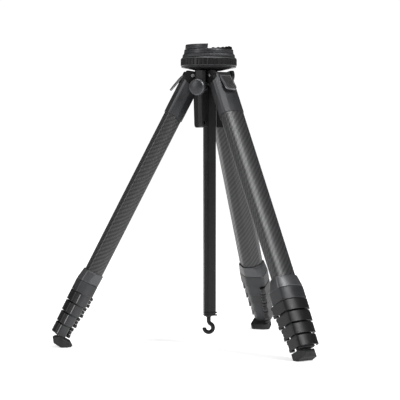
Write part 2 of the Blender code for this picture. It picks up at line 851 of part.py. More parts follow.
def lock_ring_mesh():
    low = lock_low
    high = low + LOCK_HEIGHT
    profile = [
        (lock_inner, high),
        (LOCK_TOP_RADIUS, high),
        (LOCK_TOP_RADIUS + 0.4, high - 0.6),
        (LOCK_TOP_RADIUS + 0.9, high - 4.6),
        (LOCK_RADIUS, low + 2.2),
        (LOCK_RADIUS, low),
        (lock_inner, low),
    ]
    return turned_mesh("lock_ring", profile)


def moving_jaw_mesh():
    mesh = outline_mesh(
        "moving_jaw", [jaw_plan()], platform + FIT, platform + JAW_HEIGHT - 0.7
    )
    return placed(mesh, turn(MOVING_JAW_AZIMUTH))


# ---------------------------------------------------------------- assembly


def footprint_shift(mesh):
    """How far along X the middle of the feet's box lies from the column."""
    spots = []
    for azimuth in LEG_AZIMUTHS.values():
        matrix = leg_matrix(azimuth)
        spots += [(matrix @ vertex.co).x for vertex in mesh.vertices]
    return (min(spots) + max(spots)) / 2


def leg_matrix(azimuth):
    tilt = turn(-SPLAY, "Y")
    return turn(azimuth) @ move(PIVOT_RADIUS, 0, pivot_height) @ tilt


def empty(name, matrix, parent=None):
    obj = bpy.data.objects.new(name, None)
    tripod.objects.link(obj)
    obj.parent = parent
    obj.matrix_parent_inverse = Matrix.Identity(4)
    obj.matrix_basis = matrix
    return obj


def build():
    foot = foot_mesh()
    root = empty("tripod_axis", Matrix.Translation((-footprint_shift(foot), 0, 0)))

    centre_pieces = [
        ("hub", hub_mesh(), black_metal),
        ("column_tube", column_mesh(), black_metal),
        ("hook", hook_mesh(), black_metal),
        ("column_knob", knob_mesh(), grey_metal),
        ("ball_stem", ball_stem_mesh(), steel),
        ("head_body", head_body_mesh(), grey_metal),
        ("adjust_ring", adjust_ring_mesh(), black_metal),
        ("lock_ring", lock_ring_mesh(), grey_metal),
        ("moving_jaw", moving_jaw_mesh(), black_metal),
    ]
    for name, mesh, material in centre_pieces:
        mesh_object(name, shaded(mesh), material, root)

    leg_pieces = [("casting", casting_mesh(), grey_metal), ("foot", foot, rubber)]
    leg_pieces.append(("pivot_pin", pin_mesh(), steel))
    for index in range(1, TUBES + 1):
        leg_pieces.append((f"tube_{index}", tube_mesh(index), carbon))
    for index in range(1, TUBES):
        leg_pieces.append((f"collar_{index}", collar_mesh(index), grey_metal))
        leg_pieces.append((f"lever_{index}", lever_mesh(index), black_metal))
    tab = tab_mesh()
    for letter, azimuth in LEG_AZIMUTHS.items():
        frame = empty(f"leg_{letter}_pivot", leg_matrix(azimuth), root)
        for name, mesh, material in leg_pieces:
            mesh_object(f"leg_{letter}_{name}", shaded(mesh), material, frame)
        hinge = empty(f"leg_{letter}_tab_hinge", tab_frame(), frame)
        mesh_object(f"leg_{letter}_angle_tab", shaded(tab), grey_metal, hinge)


build()
bpy.context.view_layer.update()
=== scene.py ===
# %% [markdown]
# # A compact travel tripod with a low ball head
#
# The tripod stands with its legs spread and every section pushed in. Its solids come packed,
# with their joints, from a separate model. This lesson dresses them: it works out the fine
# surfaces that the plain solids leave out, and gives each piece the finish of the real one.
#
# Loading the frame first gives every position that the later steps need, so nothing is placed
# by eye.

# %% Load the frame
import json
import math

import bmesh
import bpy
import numpy as np
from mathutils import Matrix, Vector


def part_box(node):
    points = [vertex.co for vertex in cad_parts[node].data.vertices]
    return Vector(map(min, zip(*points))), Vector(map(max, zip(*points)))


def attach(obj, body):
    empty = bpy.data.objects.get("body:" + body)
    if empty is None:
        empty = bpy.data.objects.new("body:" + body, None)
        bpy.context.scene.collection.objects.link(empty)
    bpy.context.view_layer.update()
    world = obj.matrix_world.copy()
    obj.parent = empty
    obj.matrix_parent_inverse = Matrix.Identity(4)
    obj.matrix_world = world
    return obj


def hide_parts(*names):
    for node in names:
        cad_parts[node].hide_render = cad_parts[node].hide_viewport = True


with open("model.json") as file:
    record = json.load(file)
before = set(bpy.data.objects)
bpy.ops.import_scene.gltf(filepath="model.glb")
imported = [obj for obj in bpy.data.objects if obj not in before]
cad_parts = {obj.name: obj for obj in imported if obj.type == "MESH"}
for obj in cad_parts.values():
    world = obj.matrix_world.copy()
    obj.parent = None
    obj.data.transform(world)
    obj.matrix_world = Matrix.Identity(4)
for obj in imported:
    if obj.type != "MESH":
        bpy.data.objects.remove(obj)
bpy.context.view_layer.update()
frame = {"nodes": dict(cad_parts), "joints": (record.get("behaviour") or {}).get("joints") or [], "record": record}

# %% [markdown]
# ## Where things are
#
# The joints carry the axes of the real pieces: a leg's swing gives its pivot, and the slide of
# its second section gives the direction down the leg. Each leg then has its own frame, with X
# out from the column, Y along the pivot pin and S down the leg. Shapes are drawn once in that
# frame, in millimetres, and `leg_to_world` carries them to any of the three legs.

# %% Frames of the legs and the column
MM = 0.001
LEGS = "abc"
joints = {joint["name"]: joint for joint in frame["joints"]}
axis_x, axis_y, platform = (
    value / MM for value in frame["record"]["mounts"][0]["pos_m"]
)


def leg_to_world(points, leg):
    """World point = pivot + X times outward + Y times pin direction + S times down the leg."""
    swing = joints[f"leg_{leg}_swing"]
    down = np.array(joints[f"leg_{leg}_extend_2"]["axis"])
    along_pin = -np.array(swing["axis"])
    outward = np.cross(down, along_pin)
    basis = np.array([outward, along_pin, down])
    return np.array(swing["pos_m"]) + np.asarray(points) * MM @ basis


def column_to_world(points):
    """World point = the column's axis plus the point's own X, Y and height."""
    return (np.asarray(points) + (axis_x, axis_y, 0.0)) * MM


def top_and_bottom(node):
    """Highest and lowest point of a solid, in millimetres."""
    low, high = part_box(node)
    return high.z / MM, low.z / MM


print("column axis at", round(axis_x, 2), "mm, platform at", round(platform, 2), "mm")

# %% [markdown]
# ## The camera
#
# A long lens a little above the floor gives the calm, nearly parallel look of a catalogue
# picture. The camera comes before the pieces, so that each one can be judged in the final view.

# %% Camera
CAMERA_DISTANCE = 1778.0
CAMERA_HEIGHT = 229.0
CAMERA_AZIMUTH = -7.0
CAMERA_PITCH = 1.89
CAMERA_YAW = 0.33
LENS = 136.2

around = math.radians(CAMERA_AZIMUTH)
camera_data = bpy.data.cameras.new("studio_camera")
camera_data.lens = LENS
camera_data.sensor_width = 36.0
camera_data.clip_end = 20.0
camera = bpy.data.objects.new("studio_camera", camera_data)
camera.location = (
    (axis_x + CAMERA_DISTANCE * math.sin(around)) * MM,
    -CAMERA_DISTANCE * math.cos(around) * MM,
    CAMERA_HEIGHT * MM,
)
camera.rotation_euler = (
    math.radians(90.0 - CAMERA_PITCH),
    0.0,
    math.radians(CAMERA_AZIMUTH + CAMERA_YAW),
)
bpy.context.scene.collection.objects.link(camera)
bpy.context.scene.camera = camera
print("camera at", [round(value, 3) for value in camera.location])

# %% [markdown]
# ## Skins and shells
#
# Almost every piece here is a row of closed rings with a skin between them: a tube is the same
# outline at several stations, a turned part is circles of different radii, a wire is small
# circles along a path. One function makes them all. It joins neighbouring rings with quads,
# then either closes the row on itself, as on a tube with a wall, or caps both ends.
#
# A signed volume tells which way the faces point. If it is negative, every face is turned round.

# %% Skin rings
def skin(rings, finish, wrap=False, u=None, v=None):
    """Quads between ring k and ring k + 1, closed round; capped, or wrapped to the first ring.

    u is the length along a ring, with one value more than its points, and v the length across.
    """
    rings = np.asarray(rings, float)
    rows, columns = rings.shape[:2]
    index = np.arange(rows * columns).reshape(rows, columns)
    first = index if wrap else index[:-1]
    second = np.roll(index, -1, axis=0) if wrap else index[1:]
    after = (np.roll(first, -1, axis=1), np.roll(second, -1, axis=1))
    quads = np.stack([first, after[0], after[1], second], axis=-1).reshape(-1, 4)
    caps = [] if wrap else [index[0][::-1], index[-1]]
    points = rings.reshape(-1, 3)
    triangles = [quads[:, [0, 1, 2]], quads[:, [0, 2, 3]]]
    for cap in caps:
        rest = np.stack([cap[1:-1], cap[2:]], axis=-1)
        triangles.append(np.insert(rest, 0, cap[0], axis=1))
    volume = np.linalg.det(points[np.concatenate(triangles)] - points.mean(axis=0)).sum()
    uv = np.zeros((len(quads), 4, 2))
    if u is not None:
        across = np.stack([v, np.roll(v, -1)], axis=-1)[: len(first)]
        uv[..., 0] = np.tile(np.stack([u[:-1], u[1:], u[1:], u[:-1]], -1), (len(first), 1))
        uv[..., 1] = np.repeat(across[:, [0, 0, 1, 1]], columns, axis=0)
    if volume < 0:
        quads, uv, caps = quads[:, ::-1], uv[:, ::-1], [cap[::-1] for cap in caps]
    return {
        "points": points,
        "faces": quads.tolist() + [cap.tolist() for cap in caps],
        "uv": np.concatenate([uv.reshape(-1, 2), np.zeros((sum(map(len, caps)), 2))]),
        "finish": finish,
    }


def piece(name, body, shells, replaces=(), bevel=0.0, smooth=38.0):
    """One object from several shells, riding on a body, with its bevelled edges kept crisp."""
    mesh = bpy.data.meshes.new(name)
    points, faces, finishes, start = [], [], [], 0
    materials = list(dict.fromkeys(shell["finish"] for shell in shells))
    for shell in shells:
        points.append(shell["points"])
        faces += [[start + corner for corner in face] for face in shell["faces"]]
        finishes += [materials.index(shell["finish"])] * len(shell["faces"])
        start += len(shell["points"])
    mesh.from_pydata(np.concatenate(points).tolist(), [], faces)
    for material in materials:
        mesh.materials.append(material)
    mesh.polygons.foreach_set("material_index", finishes)
    layer = mesh.uv_layers.new(name="UVMap")
    uv = np.concatenate([shell["uv"] for shell in shells]).astype(np.float32)
    layer.data.foreach_set("uv", uv.ravel())
    mesh.update()
    obj = bpy.data.objects.new(name, mesh)
    bpy.context.scene.collection.objects.link(obj)
    return dress(obj, body, replaces, bevel, smooth)


def dress(obj, body, replaces, bevel, smooth):
    """Smooth shading with sharp edges kept, a bevel on them, and the piece's place in the frame."""
    obj.data.shade_smooth()
    obj.data.set_sharp_from_angle(angle=math.radians(smooth))
    if bevel:
        rounding = obj.modifiers.new("Bevel", "BEVEL")
        rounding.width = bevel * MM
        rounding.segments = 2
        rounding.limit_method = "ANGLE"
        rounding.angle_limit = math.radians(smooth)
        rounding.harden_normals = True
    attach(obj, body)
    if replaces:
        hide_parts(*replaces)
    return obj


print("skin() and piece() are ready")

# %% [markdown]
# Some castings are cut by so many shapes that drawing them again would only copy the solid. For
# those, the solid's own mesh is copied, its doubled points are merged, its flat faces are made
# whole, and its edges are rounded. The rounding matters most: a real casting's edges catch light.

# %% Refine a solid
def refined(node, body, finish, bevel=0.5, smooth=22.0):
    """A merged copy of a solid with bevelled edges, which stands for that solid."""
    shape = bmesh.new()
    shape.from_mesh(frame["nodes"][node].data)
    bmesh.ops.remove_doubles(shape, verts=shape.verts, dist=0.02 * MM)
    bmesh.ops.dissolve_limit(
        shape, angle_limit=math.radians(1.0), verts=shape.verts, edges=shape.edges
    )
    mesh = bpy.data.meshes.new(f"{node}_fine")
    shape.to_mesh(mesh)
    shape.free()
    mesh.materials.clear()
    mesh.materials.append(finish)
    obj = bpy.data.objects.new(f"{node}_fine", mesh)
    bpy.context.scene.collection.objects.link(obj)
    return dress(obj, body, (node,), bevel, smooth)


print("refined() is ready")

# %% [markdown]
# ## Curves that the shapes share
#
# A moulded or machined corner is never a knife edge. `eased` replaces each corner of a polyline
# with a quadratic Bezier curve, which starts and ends tangent to the two edges. It serves for
# tube sections as well as for turned profiles.

# %% Rounded polylines
def eased(points, cut, closed=True, count=5):
    """Each corner becomes (1-t)^2 A + 2t(1-t) P + t^2 B, with A and B at cut along its edges."""
    points = np.asarray(points, float)
    t = np.linspace(0.0, 1.0, count)[:, None]
    pieces = []
    for i, corner in enumerate(points):
        if not closed and i in (0, len(points) - 1):
            pieces.append(corner[None])
            continue
        ends = []
        for other in (points[i - 1], points[(i + 1) % len(points)]):
            edge = other - corner
            length = np.linalg.norm(edge)
            ends.append(corner + edge * min(cut / length, 0.45))
        pieces.append((1 - t) ** 2 * ends[0] + 2 * t * (1 - t) * corner + t**2 * ends[1])
    return np.concatenate(pieces)


def turned(profile, finish, steps=128, flutes=None, wrap=False):
    """Rings of radius r + depth times the flute shape, one for each (r, z) of the profile."""
    profile = np.asarray(profile, float)
    angle = np.linspace(0.0, math.tau, steps, endpoint=False)
    radius = profile[:, :1] + np.zeros(steps)
    if flutes is not None:
        rows, count, depth = flutes
        wave = 0.5 + 0.5 * np.cos(angle * count)
        radius[rows] -= depth * wave**6
    rings = np.stack(
        [radius * np.cos(angle), radius * np.sin(angle), profile[:, 1:] + 0 * angle], axis=-1
    )
    return skin(column_to_world(rings), finish, wrap)


def prism(outline, low, high, finish, place):
    """The same outline at two heights, capped, carried to the world by place."""
    outline = np.asarray(outline, float)
    rings = [np.column_stack([outline, np.full(len(outline), h)]) for h in (low, high)]
    return skin(place(np.array(rings)), finish)


print("a square corner becomes", len(eased([(0, 0), (1, 0), (1, 1), (0, 1)], 0.2)), "points")

# %% [markdown]
# ## Finishes
#
# Almost everything on this tripod is dark, so the finishes differ by gloss and by fine texture
# far more than by colour. Each one starts as a Principled shader, with its uniform values on
# the shader's own sockets, and then gets its grain from noise in Object coordinates, in real
# millimetres.

# %% Node helpers
def new_finish(name, colour, roughness, metallic=0.0, **more):
    """A Principled material. more sets other sockets by name, such as Coat_Weight."""
    material = bpy.data.materials.new(name)
    material.use_nodes = True
    shader = material.node_tree.nodes["Principled BSDF"]
    shader.inputs["Base Color"].default_value = (*colour, 1.0)
    shader.inputs["Roughness"].default_value = roughness
    shader.inputs["Metallic"].default_value = metallic
    for socket, value in more.items():
        shader.inputs[socket.replace("_", " ")].default_value = value
    return material


def add_node(material, kind, inputs=(), **settings):
    """A node with its settings, and its inputs linked from sockets or set to values."""
    node = material.node_tree.nodes.new(f"ShaderNode{kind}")
    for key, value in settings.items():
        setattr(node, key, value)
    for socket, value in dict(inputs).items():
        target = node.inputs[socket]
        if isinstance(value, bpy.types.NodeSocket):
            material.node_tree.links.new(value, target)
        else:
            target.default_value = value
    return node


def arithmetic(material, operation, first, second=0.0, third=0.0):
    """One Math node. MULTIPLY_ADD gives first times second plus third."""
    inputs = {0: first, 1: second, 2: third}
    return add_node(material, "Math", inputs, operation=operation).outputs[0]


def ramped(material, factor, stops):
    """A colour ramp with (position, colour or grey) stops."""
    ramp = add_node(material, "ValToRGB", {"Fac": factor})
    elements = ramp.color_ramp.elements
    for number, (position, colour) in enumerate(stops):
        element = elements[number] if number < 2 else elements.new(position)
        colour = colour if isinstance(colour, tuple) else (colour,) * 3
        element.position, element.color = position, (*colour, 1.0)
    return ramp.outputs["Color"]


def noise(material, coordinates, size, detail=3.0, rough=0.5):
    """Noise whose features are about size millimetres across."""
    inputs = {"Vector": coordinates, "Scale": 1.0 / (size * MM), "Detail": detail}
    node = add_node(material, "TexNoise", {**inputs, "Roughness": rough})
    return node.outputs["Fac"]


def shade(material, colour=None, roughness=None, height=None, strength=0.3, distance=0.05):
    """Links what varies over the surface to the shader; height goes through one Bump node."""
    shader = material.node_tree.nodes["Principled BSDF"]
    links = material.node_tree.links
    if colour is not None:
        links.new(colour, shader.inputs["Base Color"])
    if roughness is not None:
        links.new(roughness, shader.inputs["Roughness"])
    if height is not None:
        inputs = {"Height": height, "Strength": strength, "Distance": distance * MM}
        bump = add_node(material, "Bump", inputs)
        links.new(bump.outputs["Normal"], shader.inputs["Normal"])
    return material


def object_coordinates(material):
    """Coordinates in metres that move with the piece."""
    return add_node(material, "TexCoord").outputs["Object"]


print("node helpers are ready")

# %% [markdown]
# Anodised castings are blasted first, so their satin has a sandy grain of about a third of a
# millimetre, under a slow change of tone from handling. Painted levers are smoother. One helper
# makes both, and the numbers say which.

# %% Metals
HANDLING_MARKS = 22.0


def satin(name, dark, light, roughness, metallic, grain, strength, **more):
    """A fine grain in colour and height, with slow changes of tone and gloss over it."""
    material = new_finish(name, light, roughness, metallic, **more)
    where = object_coordinates(material)
    fine = noise(material, where, grain, 2.0)
    slow = noise(material, where, HANDLING_MARKS, 4.0, 0.6)
    tone = arithmetic(material, "MULTIPLY_ADD", fine, 0.45, 0.0)
    tone = arithmetic(material, "MULTIPLY_ADD", slow, 0.55, tone)
    colour = ramped(material, tone, [(0.32, dark), (0.68, light)])
    gloss = arithmetic(material, "MULTIPLY_ADD", slow, 0.22, roughness - 0.11)
    return shade(material, colour, gloss, fine, strength, 0.05)


charcoal = satin(
    "charcoal_anodised", (0.024, 0.0245, 0.026), (0.05, 0.051, 0.054), 0.4, 0.3, 0.35, 0.35,
    Specular_IOR_Level=0.4,
)
# A pale grey that is painted highlight on edges: the lever's free end, the tab's plate rim and the friction ring's
# lower chamfer.
edge_highlight_paint = satin(
    "painted_edge_highlight", (0.16, 0.162, 0.17), (0.26, 0.262, 0.27), 0.3, 0.8, 0.3, 0.15
)
black_satin = satin(
    "black_anodised", (0.004, 0.004, 0.0045), (0.01, 0.01, 0.011), 0.36, 0.0, 0.3, 0.25,
    Specular_IOR_Level=0.3,
)
# A paler grey that is painted highlight: the lit face of the first collar's flare, the knob's rim and the friction
# ring's top chamfer.
pale_painted_highlight = satin(
    "pale_painted_highlight", (0.06, 0.061, 0.064), (0.11, 0.112, 0.116), 0.36, 0.45, 0.3, 0.25
)
lever_black = satin(
    "lever_paint", (0.006, 0.006, 0.0065), (0.013, 0.013, 0.014), 0.38, 0.0, 0.3, 0.3,
    Specular_IOR_Level=0.38,
)
bare_steel = satin(
    "bare_steel", (0.3, 0.3, 0.31), (0.5, 0.5, 0.5), 0.28, 1.0, 0.2, 0.1
)
print("metals:", charcoal.name, edge_highlight_paint.name, black_satin.name, lever_black.name)

# %% [markdown]
# ## Woven carbon
#
# Carbon tubes show a twill: each tow passes over two others and under two, one step further in
# each row, so that diagonal lines appear. The tubes carry a UV map in metres, round the section
# and down the leg. Dividing it by a tow's width and taking whole numbers gives each crossing, and
# (column + row) modulo 4 says which tow is on top.
#
# What the eye sees is mostly gloss: each tow is a low rounded ridge of parallel fibres. So the
# height is 1 - (2f - 1)^2 across whichever tow is on top, with fine fibre lines along it. The
# colour is lighter where the warp is on top and on each tow's ridge: painted sheen, for the
# reflection that changes with the fibres' direction and rounding.

# %% Carbon twill
TOW_WIDTH = 1.5


def carbon_twill(name, dark, light, roughness):
    """A 2/2 twill from the piece's own UV map, in metres."""
    gloss = {"Coat_Weight": 0.2, "Coat_Roughness": 0.24, "Specular_IOR_Level": 0.4}
    material = new_finish(name, light, roughness, 0.0, **gloss)
    uv = add_node(material, "UVMap", uv_map="UVMap").outputs["UV"]
    place = add_node(material, "SeparateXYZ", {0: uv})
    tow = 1.0 / (TOW_WIDTH * MM)
    around_tube = arithmetic(material, "MULTIPLY", place.outputs[0], tow)
    down_tube = arithmetic(material, "MULTIPLY", place.outputs[1], tow)
    column, row = (arithmetic(material, "FLOOR", x) for x in (around_tube, down_tube))
    step = arithmetic(material, "FLOORED_MODULO", arithmetic(material, "ADD", column, row), 4.0)
    warp_on_top = arithmetic(material, "LESS_THAN", step, 2.0)
    ridges = []
    for length in (around_tube, down_tube):
        share = arithmetic(material, "FRACT", length)
        offset = arithmetic(material, "MULTIPLY_ADD", share, 2.0, -1.0)
        square = arithmetic(material, "MULTIPLY", offset, offset)
        ridges.append(arithmetic(material, "SUBTRACT", 1.0, square))
    fibres = []
    for stretch in ((14.0, 0.8, 1.0), (0.8, 14.0, 1.0)):
        inputs = {"Vector": uv, "Scale": (*(s / MM * 0.9 for s in stretch[:2]), 1.0)}
        mapping = add_node(material, "Mapping", inputs)
        lines = add_node(material, "TexNoise", {"Vector": mapping.outputs[0], "Scale": 1.0})
        fibres.append(lines.outputs["Fac"])
    heights = [
        arithmetic(material, "MULTIPLY_ADD", fibre, 0.5, ridge)
        for fibre, ridge in zip(fibres, ridges)
    ]
    mixed = {0: warp_on_top, 2: heights[1], 3: heights[0]}
    height = add_node(material, "Mix", mixed).outputs[0]
    # Painted sheen: the warp tows and the tops of the ridges are made lighter in colour.
    tone = arithmetic(material, "MULTIPLY_ADD", warp_on_top, 0.5, 0.0)
    tone = arithmetic(material, "MULTIPLY_ADD", height, 0.35, tone)
    colour = ramped(material, tone, [(0.1, dark), (0.95, light)])
    gloss = arithmetic(material, "MULTIPLY_ADD", warp_on_top, -0.08, roughness)
    return shade(material, colour, gloss, height, 0.5, 0.12)


carbon = carbon_twill("carbon_twill", (0.006, 0.006, 0.0065), (0.05, 0.05, 0.052), 0.42)
print("carbon twill with tows", TOW_WIDTH, "mm wide")

# %% [markdown]
# ## Rubber
#
# The feet and the pads of the angle tabs are moulded rubber. It is almost matt, a little lighter
# than the paint, and dust keeps it uneven.

# %% Rubbers
def moulded_rubber(name, dark, light, grain, strength):
    """A matt finish whose tone and gloss follow slow dust marks, over a fine grain in height."""
    material = new_finish(name, light, 0.8, 0.0, Specular_IOR_Level=0.35)
    where = object_coordinates(material)
    fine = noise(material, where, grain, 3.0)
    dust = noise(material, where, 9.0, 4.0, 0.65)
    colour = ramped(material, dust, [(0.3, dark), (0.7, light)])
    gloss = arithmetic(material, "MULTIPLY_ADD", dust, 0.2, 0.68)
    return shade(material, colour, gloss, fine, strength, 0.1)


foot_rubber = moulded_rubber("foot_rubber", (0.014, 0.014, 0.0145), (0.036, 0.036, 0.037), 0.5, 0.5)
pad_rubber = moulded_rubber("pad_rubber", (0.02, 0.02, 0.021), (0.04, 0.04, 0.041), 0.3, 0.5)
print("rubbers:", foot_rubber.name, pad_rubber.name)

# %% [markdown]
# ## The section of a leg
#
# The leg tubes are not round. A wide curved crown faces out, two flat sides stand square to the
# pin, and two chamfers lead to a narrow inner face, so that three folded legs close round the
# column. Every tube, collar and lever follows this one section, grown or shrunk, which keeps the
# gaps between them even.

# %% Leg section
HALF_WIDTH = 14.2
CROWN_OUT = 10.8
INNER_FACE = 10.8
INNER_FACE_HALF = 5.0
SIDE_END = 2.2
CROWN_RADIUS = 30.0
TUBE_INSET = 2.2
CORNER_CUT = 2.4
CORNER_POINTS = 5
ARC_POINTS = 13
chamfer = math.atan2(HALF_WIDTH - INNER_FACE_HALF, INNER_FACE - SIDE_END)


def section(grow, back=None, hinge=None, shift=0.0):
    """The closed outline of a leg, grown on crown and sides, with its own growth inside.

    Crown: x = centre + sqrt(R^2 - y^2). Each chamfer is a straight line moved out along its
    normal, met with the side and with the inner face. Points run from -Y over the crown.
    """
    back = grow if back is None else back
    hinge = back if hinge is None else hinge
    half, crown = HALF_WIDTH + grow, CROWN_RADIUS + grow
    inner = -(INNER_FACE + back)

    def ends(growth):
        """Where the grown chamfer's line meets the side, and where it meets the inner face."""
        reach = math.sin(chamfer) * SIDE_END + math.cos(chamfer) * HALF_WIDTH + growth
        side_x = (math.cos(chamfer) * half - reach) / math.sin(chamfer)
        return side_x, (reach + math.sin(chamfer) * inner) / math.cos(chamfer)

    def crown_x(y):
        """The crown's circle at a distance y from the middle."""
        return CROWN_OUT - CROWN_RADIUS + np.sqrt(crown**2 - np.square(y))

    def corner(before, at, after):
        """The eased corner alone, without the two ends of the polyline."""
        return eased([before, at, after], CORNER_CUT, closed=False)[1:-1]

    y = half * np.linspace(-0.8, 0.8, ARC_POINTS)
    arc = np.column_stack([crown_x(y), y])
    (side_plus, face_plus), (side_minus, face_minus) = ends(back), ends(hinge)
    left, right = (crown_x(half), -half), (crown_x(half), half)
    rest = [right, (side_plus, half), (inner, face_plus), (inner, -face_minus)]
    rest += [(side_minus, -half), left]
    points = [corner(rest[-2], left, arc[0]), arc, corner(arc[-1], right, rest[1])]
    points += [corner(*rest[i : i + 3]) for i in range(len(rest) - 2)]
    return np.concatenate(points) + (shift - TUBE_INSET, 0.0)


CROWN_POINTS = CORNER_POINTS + ARC_POINTS + CORNER_POINTS  # at the start of the outline


def stations(outlines, places):
    """One ring of leg-frame points for each outline and its place down the leg."""
    return [np.column_stack([o, np.full(len(o), s)]) for o, s in zip(outlines, places)]


def perimeter(outline):
    """Length along the closed outline up to each point and back to the first, in metres."""
    steps = np.linalg.norm(np.diff(outline, axis=0, append=outline[:1]), axis=1)
    return np.concatenate([[0.0], np.cumsum(steps)]) * MM


print("a leg section has", len(section(0.0)), "points")

# %% [markdown]
# ## Tubes
#
# Each tube is the section at its two ends, outside and inside, wrapped into a wall. The UV map
# carries the true length round and down, so the weave keeps its size on all five tubes. The
# stations repeat the solids' own driving sizes.

# %% Tubes
FIRST_LEVER = 284.2
LEVER_PITCH = 13.8
TUBE_STEP = 1.75
TUBE_WALL = 1.1
GAP = 0.3
EDGE = 0.25
WIDEST_TUBE_TOP = 22.3
INNER_TUBE_TOP = 9.2
FOOT_INSERT = 4.1


def tube_span(index):
    """Top and end of a tube down the leg; each inner tube starts and ends one pitch lower."""
    if index == 1:
        return WIDEST_TUBE_TOP, FIRST_LEVER - GAP
    start = FIRST_LEVER + LEVER_PITCH * (index - 1)
    end = start - GAP if index < 5 else start + FOOT_INSERT
    return start - FIRST_LEVER + INNER_TUBE_TOP, end


def tube_shell(index, leg):
    """Outer rings down the leg, then inner rings back up, with a small chamfer at each rim."""
    grow = -TUBE_STEP * (index - 1)
    top, end = tube_span(index)
    rims = [(grow - EDGE, top), (grow, top + EDGE), (grow, end - EDGE), (grow - EDGE, end)]
    rims += [(grow - TUBE_WALL, end), (grow - TUBE_WALL, top)]
    rings = stations([section(g) for g, _ in rims], [s for _, s in rims])
    along = np.array([s for _, s in rims]) * MM
    u = perimeter(section(grow))
    return skin(leg_to_world(rings, leg), carbon, wrap=True, u=u, v=along)


for leg in LEGS:
    for index in range(1, 6):
        body = f"leg_{leg}_upper" if index == 1 else f"leg_{leg}_section_{index}"
        name = f"leg_{leg}_tube_{index}"
        shell = tube_shell(index, leg)
        piece(f"{name}_woven", body, [shell], (name,))
print("tube lengths", [round(np.diff(tube_span(i))[0], 1) for i in range(1, 6)])

# %% [markdown]
# ## Collars
#
# A casting is bonded to the end of each tube but the last, and the lever next to it squeezes that
# casting onto the tube inside. The first collar is a pair of sleeves: a flare that widens from the
# tube to the full width of the lever stack, painted paler as the highlight on its lit face, and a
# darker band below it. On the hinge side each collar swells into a lug for the lever's pin.

# %% Collars
LEVER_GROWTH = 3.7
LEVER_GROWTH_STEP = 1.15
LEVER_THICKNESS = 2.7
LEVER_GAP = 1.4
HINGE_BULGE = 3.7
LEVER_SHIFT = 0.7
COLLAR_TOP = 256.0
COLLAR_FLARE = 13.5


def lever_top(index):
    """The first lever's place plus one pitch for each lever above this one."""
    return FIRST_LEVER + LEVER_PITCH * (index - 1)


def lever_growth(index):
    """How far a lever stands outside the widest tube: one step less for each lever down."""
    return LEVER_GROWTH - LEVER_GROWTH_STEP * (index - 1)


def clamp_section(index, ease=0.0):
    """The collar's outside where the lever lies on it."""
    grow = lever_growth(index) - LEVER_THICKNESS - LEVER_GAP - ease
    hinge = grow + HINGE_BULGE + 0.4 - 0.5 * (index - 1)
    return section(grow, grow, hinge, LEVER_SHIFT * (index - 1))


def hinge_axis(index):
    """Where the lever's pin stands: just inside the lever's outer side, further out each time."""
    x = -12.0 + 1.5 * (index - 1) - TUBE_INSET
    return np.array([x, -(HALF_WIDTH + lever_growth(index) - 3.3)])


def first_collar(leg):
    """Two sleeves that meet at a crease: the flare, then the band with the clamp under it."""
    top, end, crease = lever_top(1), lever_top(2) - GAP, COLLAR_TOP + COLLAR_FLARE
    socket, lip, bore = section(GAP), section(GAP + TUBE_WALL), section(GAP - TUBE_STEP)
    flare = [(section(GAP + 0.9), COLLAR_TOP), (lip, COLLAR_TOP + 0.4)]
    for share in (0.06, 0.35, 0.65, 0.96):
        grow = 1.4 + (LEVER_GROWTH - 1.4) * share
        ring = section(grow, 1.4 - 0.4 * share, 1.4 + (2 * HINGE_BULGE - 1.4) * share)
        flare.append((ring, COLLAR_TOP + COLLAR_FLARE * share))
    flare += [(section(LEVER_GROWTH - 0.5, 0.5, 2 * HINGE_BULGE - 0.5), crease)]
    flare += [(socket, crease), (socket, COLLAR_TOP)]
    outer = section(LEVER_GROWTH, 1.0, 2 * HINGE_BULGE)
    inset = section(LEVER_GROWTH - 0.6, 0.4, 2 * HINGE_BULGE - 0.6)
    band = [(inset, crease + 0.05), (outer, crease + 0.6), (outer, top - 0.9), (inset, top - 0.3)]
    band += [(clamp_section(1), top - 0.3), (clamp_section(1), end - 0.3)]
    band += [(clamp_section(1, 0.3), end), (bore, end), (bore, top)]
    band += [(socket, top - GAP), (socket, crease + 0.05)]
    shells = []
    # The flare's paler finish is a painted highlight on its lit face; the band is plain charcoal.
    for rings, finish in ((flare, pale_painted_highlight), (band, charcoal)):
        points = stations([outline for outline, _ in rings], [s for _, s in rings])
        shells.append(skin(leg_to_world(points, leg), finish, wrap=True))
    return shells


def lower_collar(index, leg):
    """The clamp's outline down the outside, then the next tube's outline back up as a bore."""
    top, end = lever_top(index) + GAP, lever_top(index + 1) - GAP
    bore = section(-TUBE_STEP * index + GAP)
    outside = [clamp_section(index, 0.3), clamp_section(index), clamp_section(index)]
    outlines = outside + [clamp_section(index, 0.3), bore, bore]
    places = [top, top + 0.3, end - 0.3, end, end, top]
    return [skin(leg_to_world(stations(outlines, places), leg), charcoal, wrap=True)]


def barrel(index, start, end, radius, leg, finish):
    """A hinge barrel round the lever's pin, with eased rims."""
    angle = np.linspace(0.0, math.tau, 24, endpoint=False)
    circle = np.column_stack([np.cos(angle), np.sin(angle)])
    rims = [(radius - 0.3, start), (radius, start + 0.3), (radius, end - 0.3)]
    rims.append((radius - 0.3, end))
    outlines = [hinge_axis(index) + circle * r for r, _ in rims]
    return skin(leg_to_world(stations(outlines, [s for _, s in rims]), leg), finish)


for leg in LEGS:
    for index in range(1, 5):
        body = f"leg_{leg}_upper" if index == 1 else f"leg_{leg}_section_{index}"
        shells = first_collar(leg) if index == 1 else lower_collar(index, leg)
        middle = lever_top(index) + LEVER_PITCH / 2
        lug = barrel(index, middle - 1.9, middle + 1.9, 2.7, leg, charcoal)
        name = f"leg_{leg}_collar_{index}"
        piece(f"{name}_cast", body, [*shells, lug], (name,))
print("collars from", COLLAR_TOP, "to", round(lever_top(5), 1), "mm down the leg")

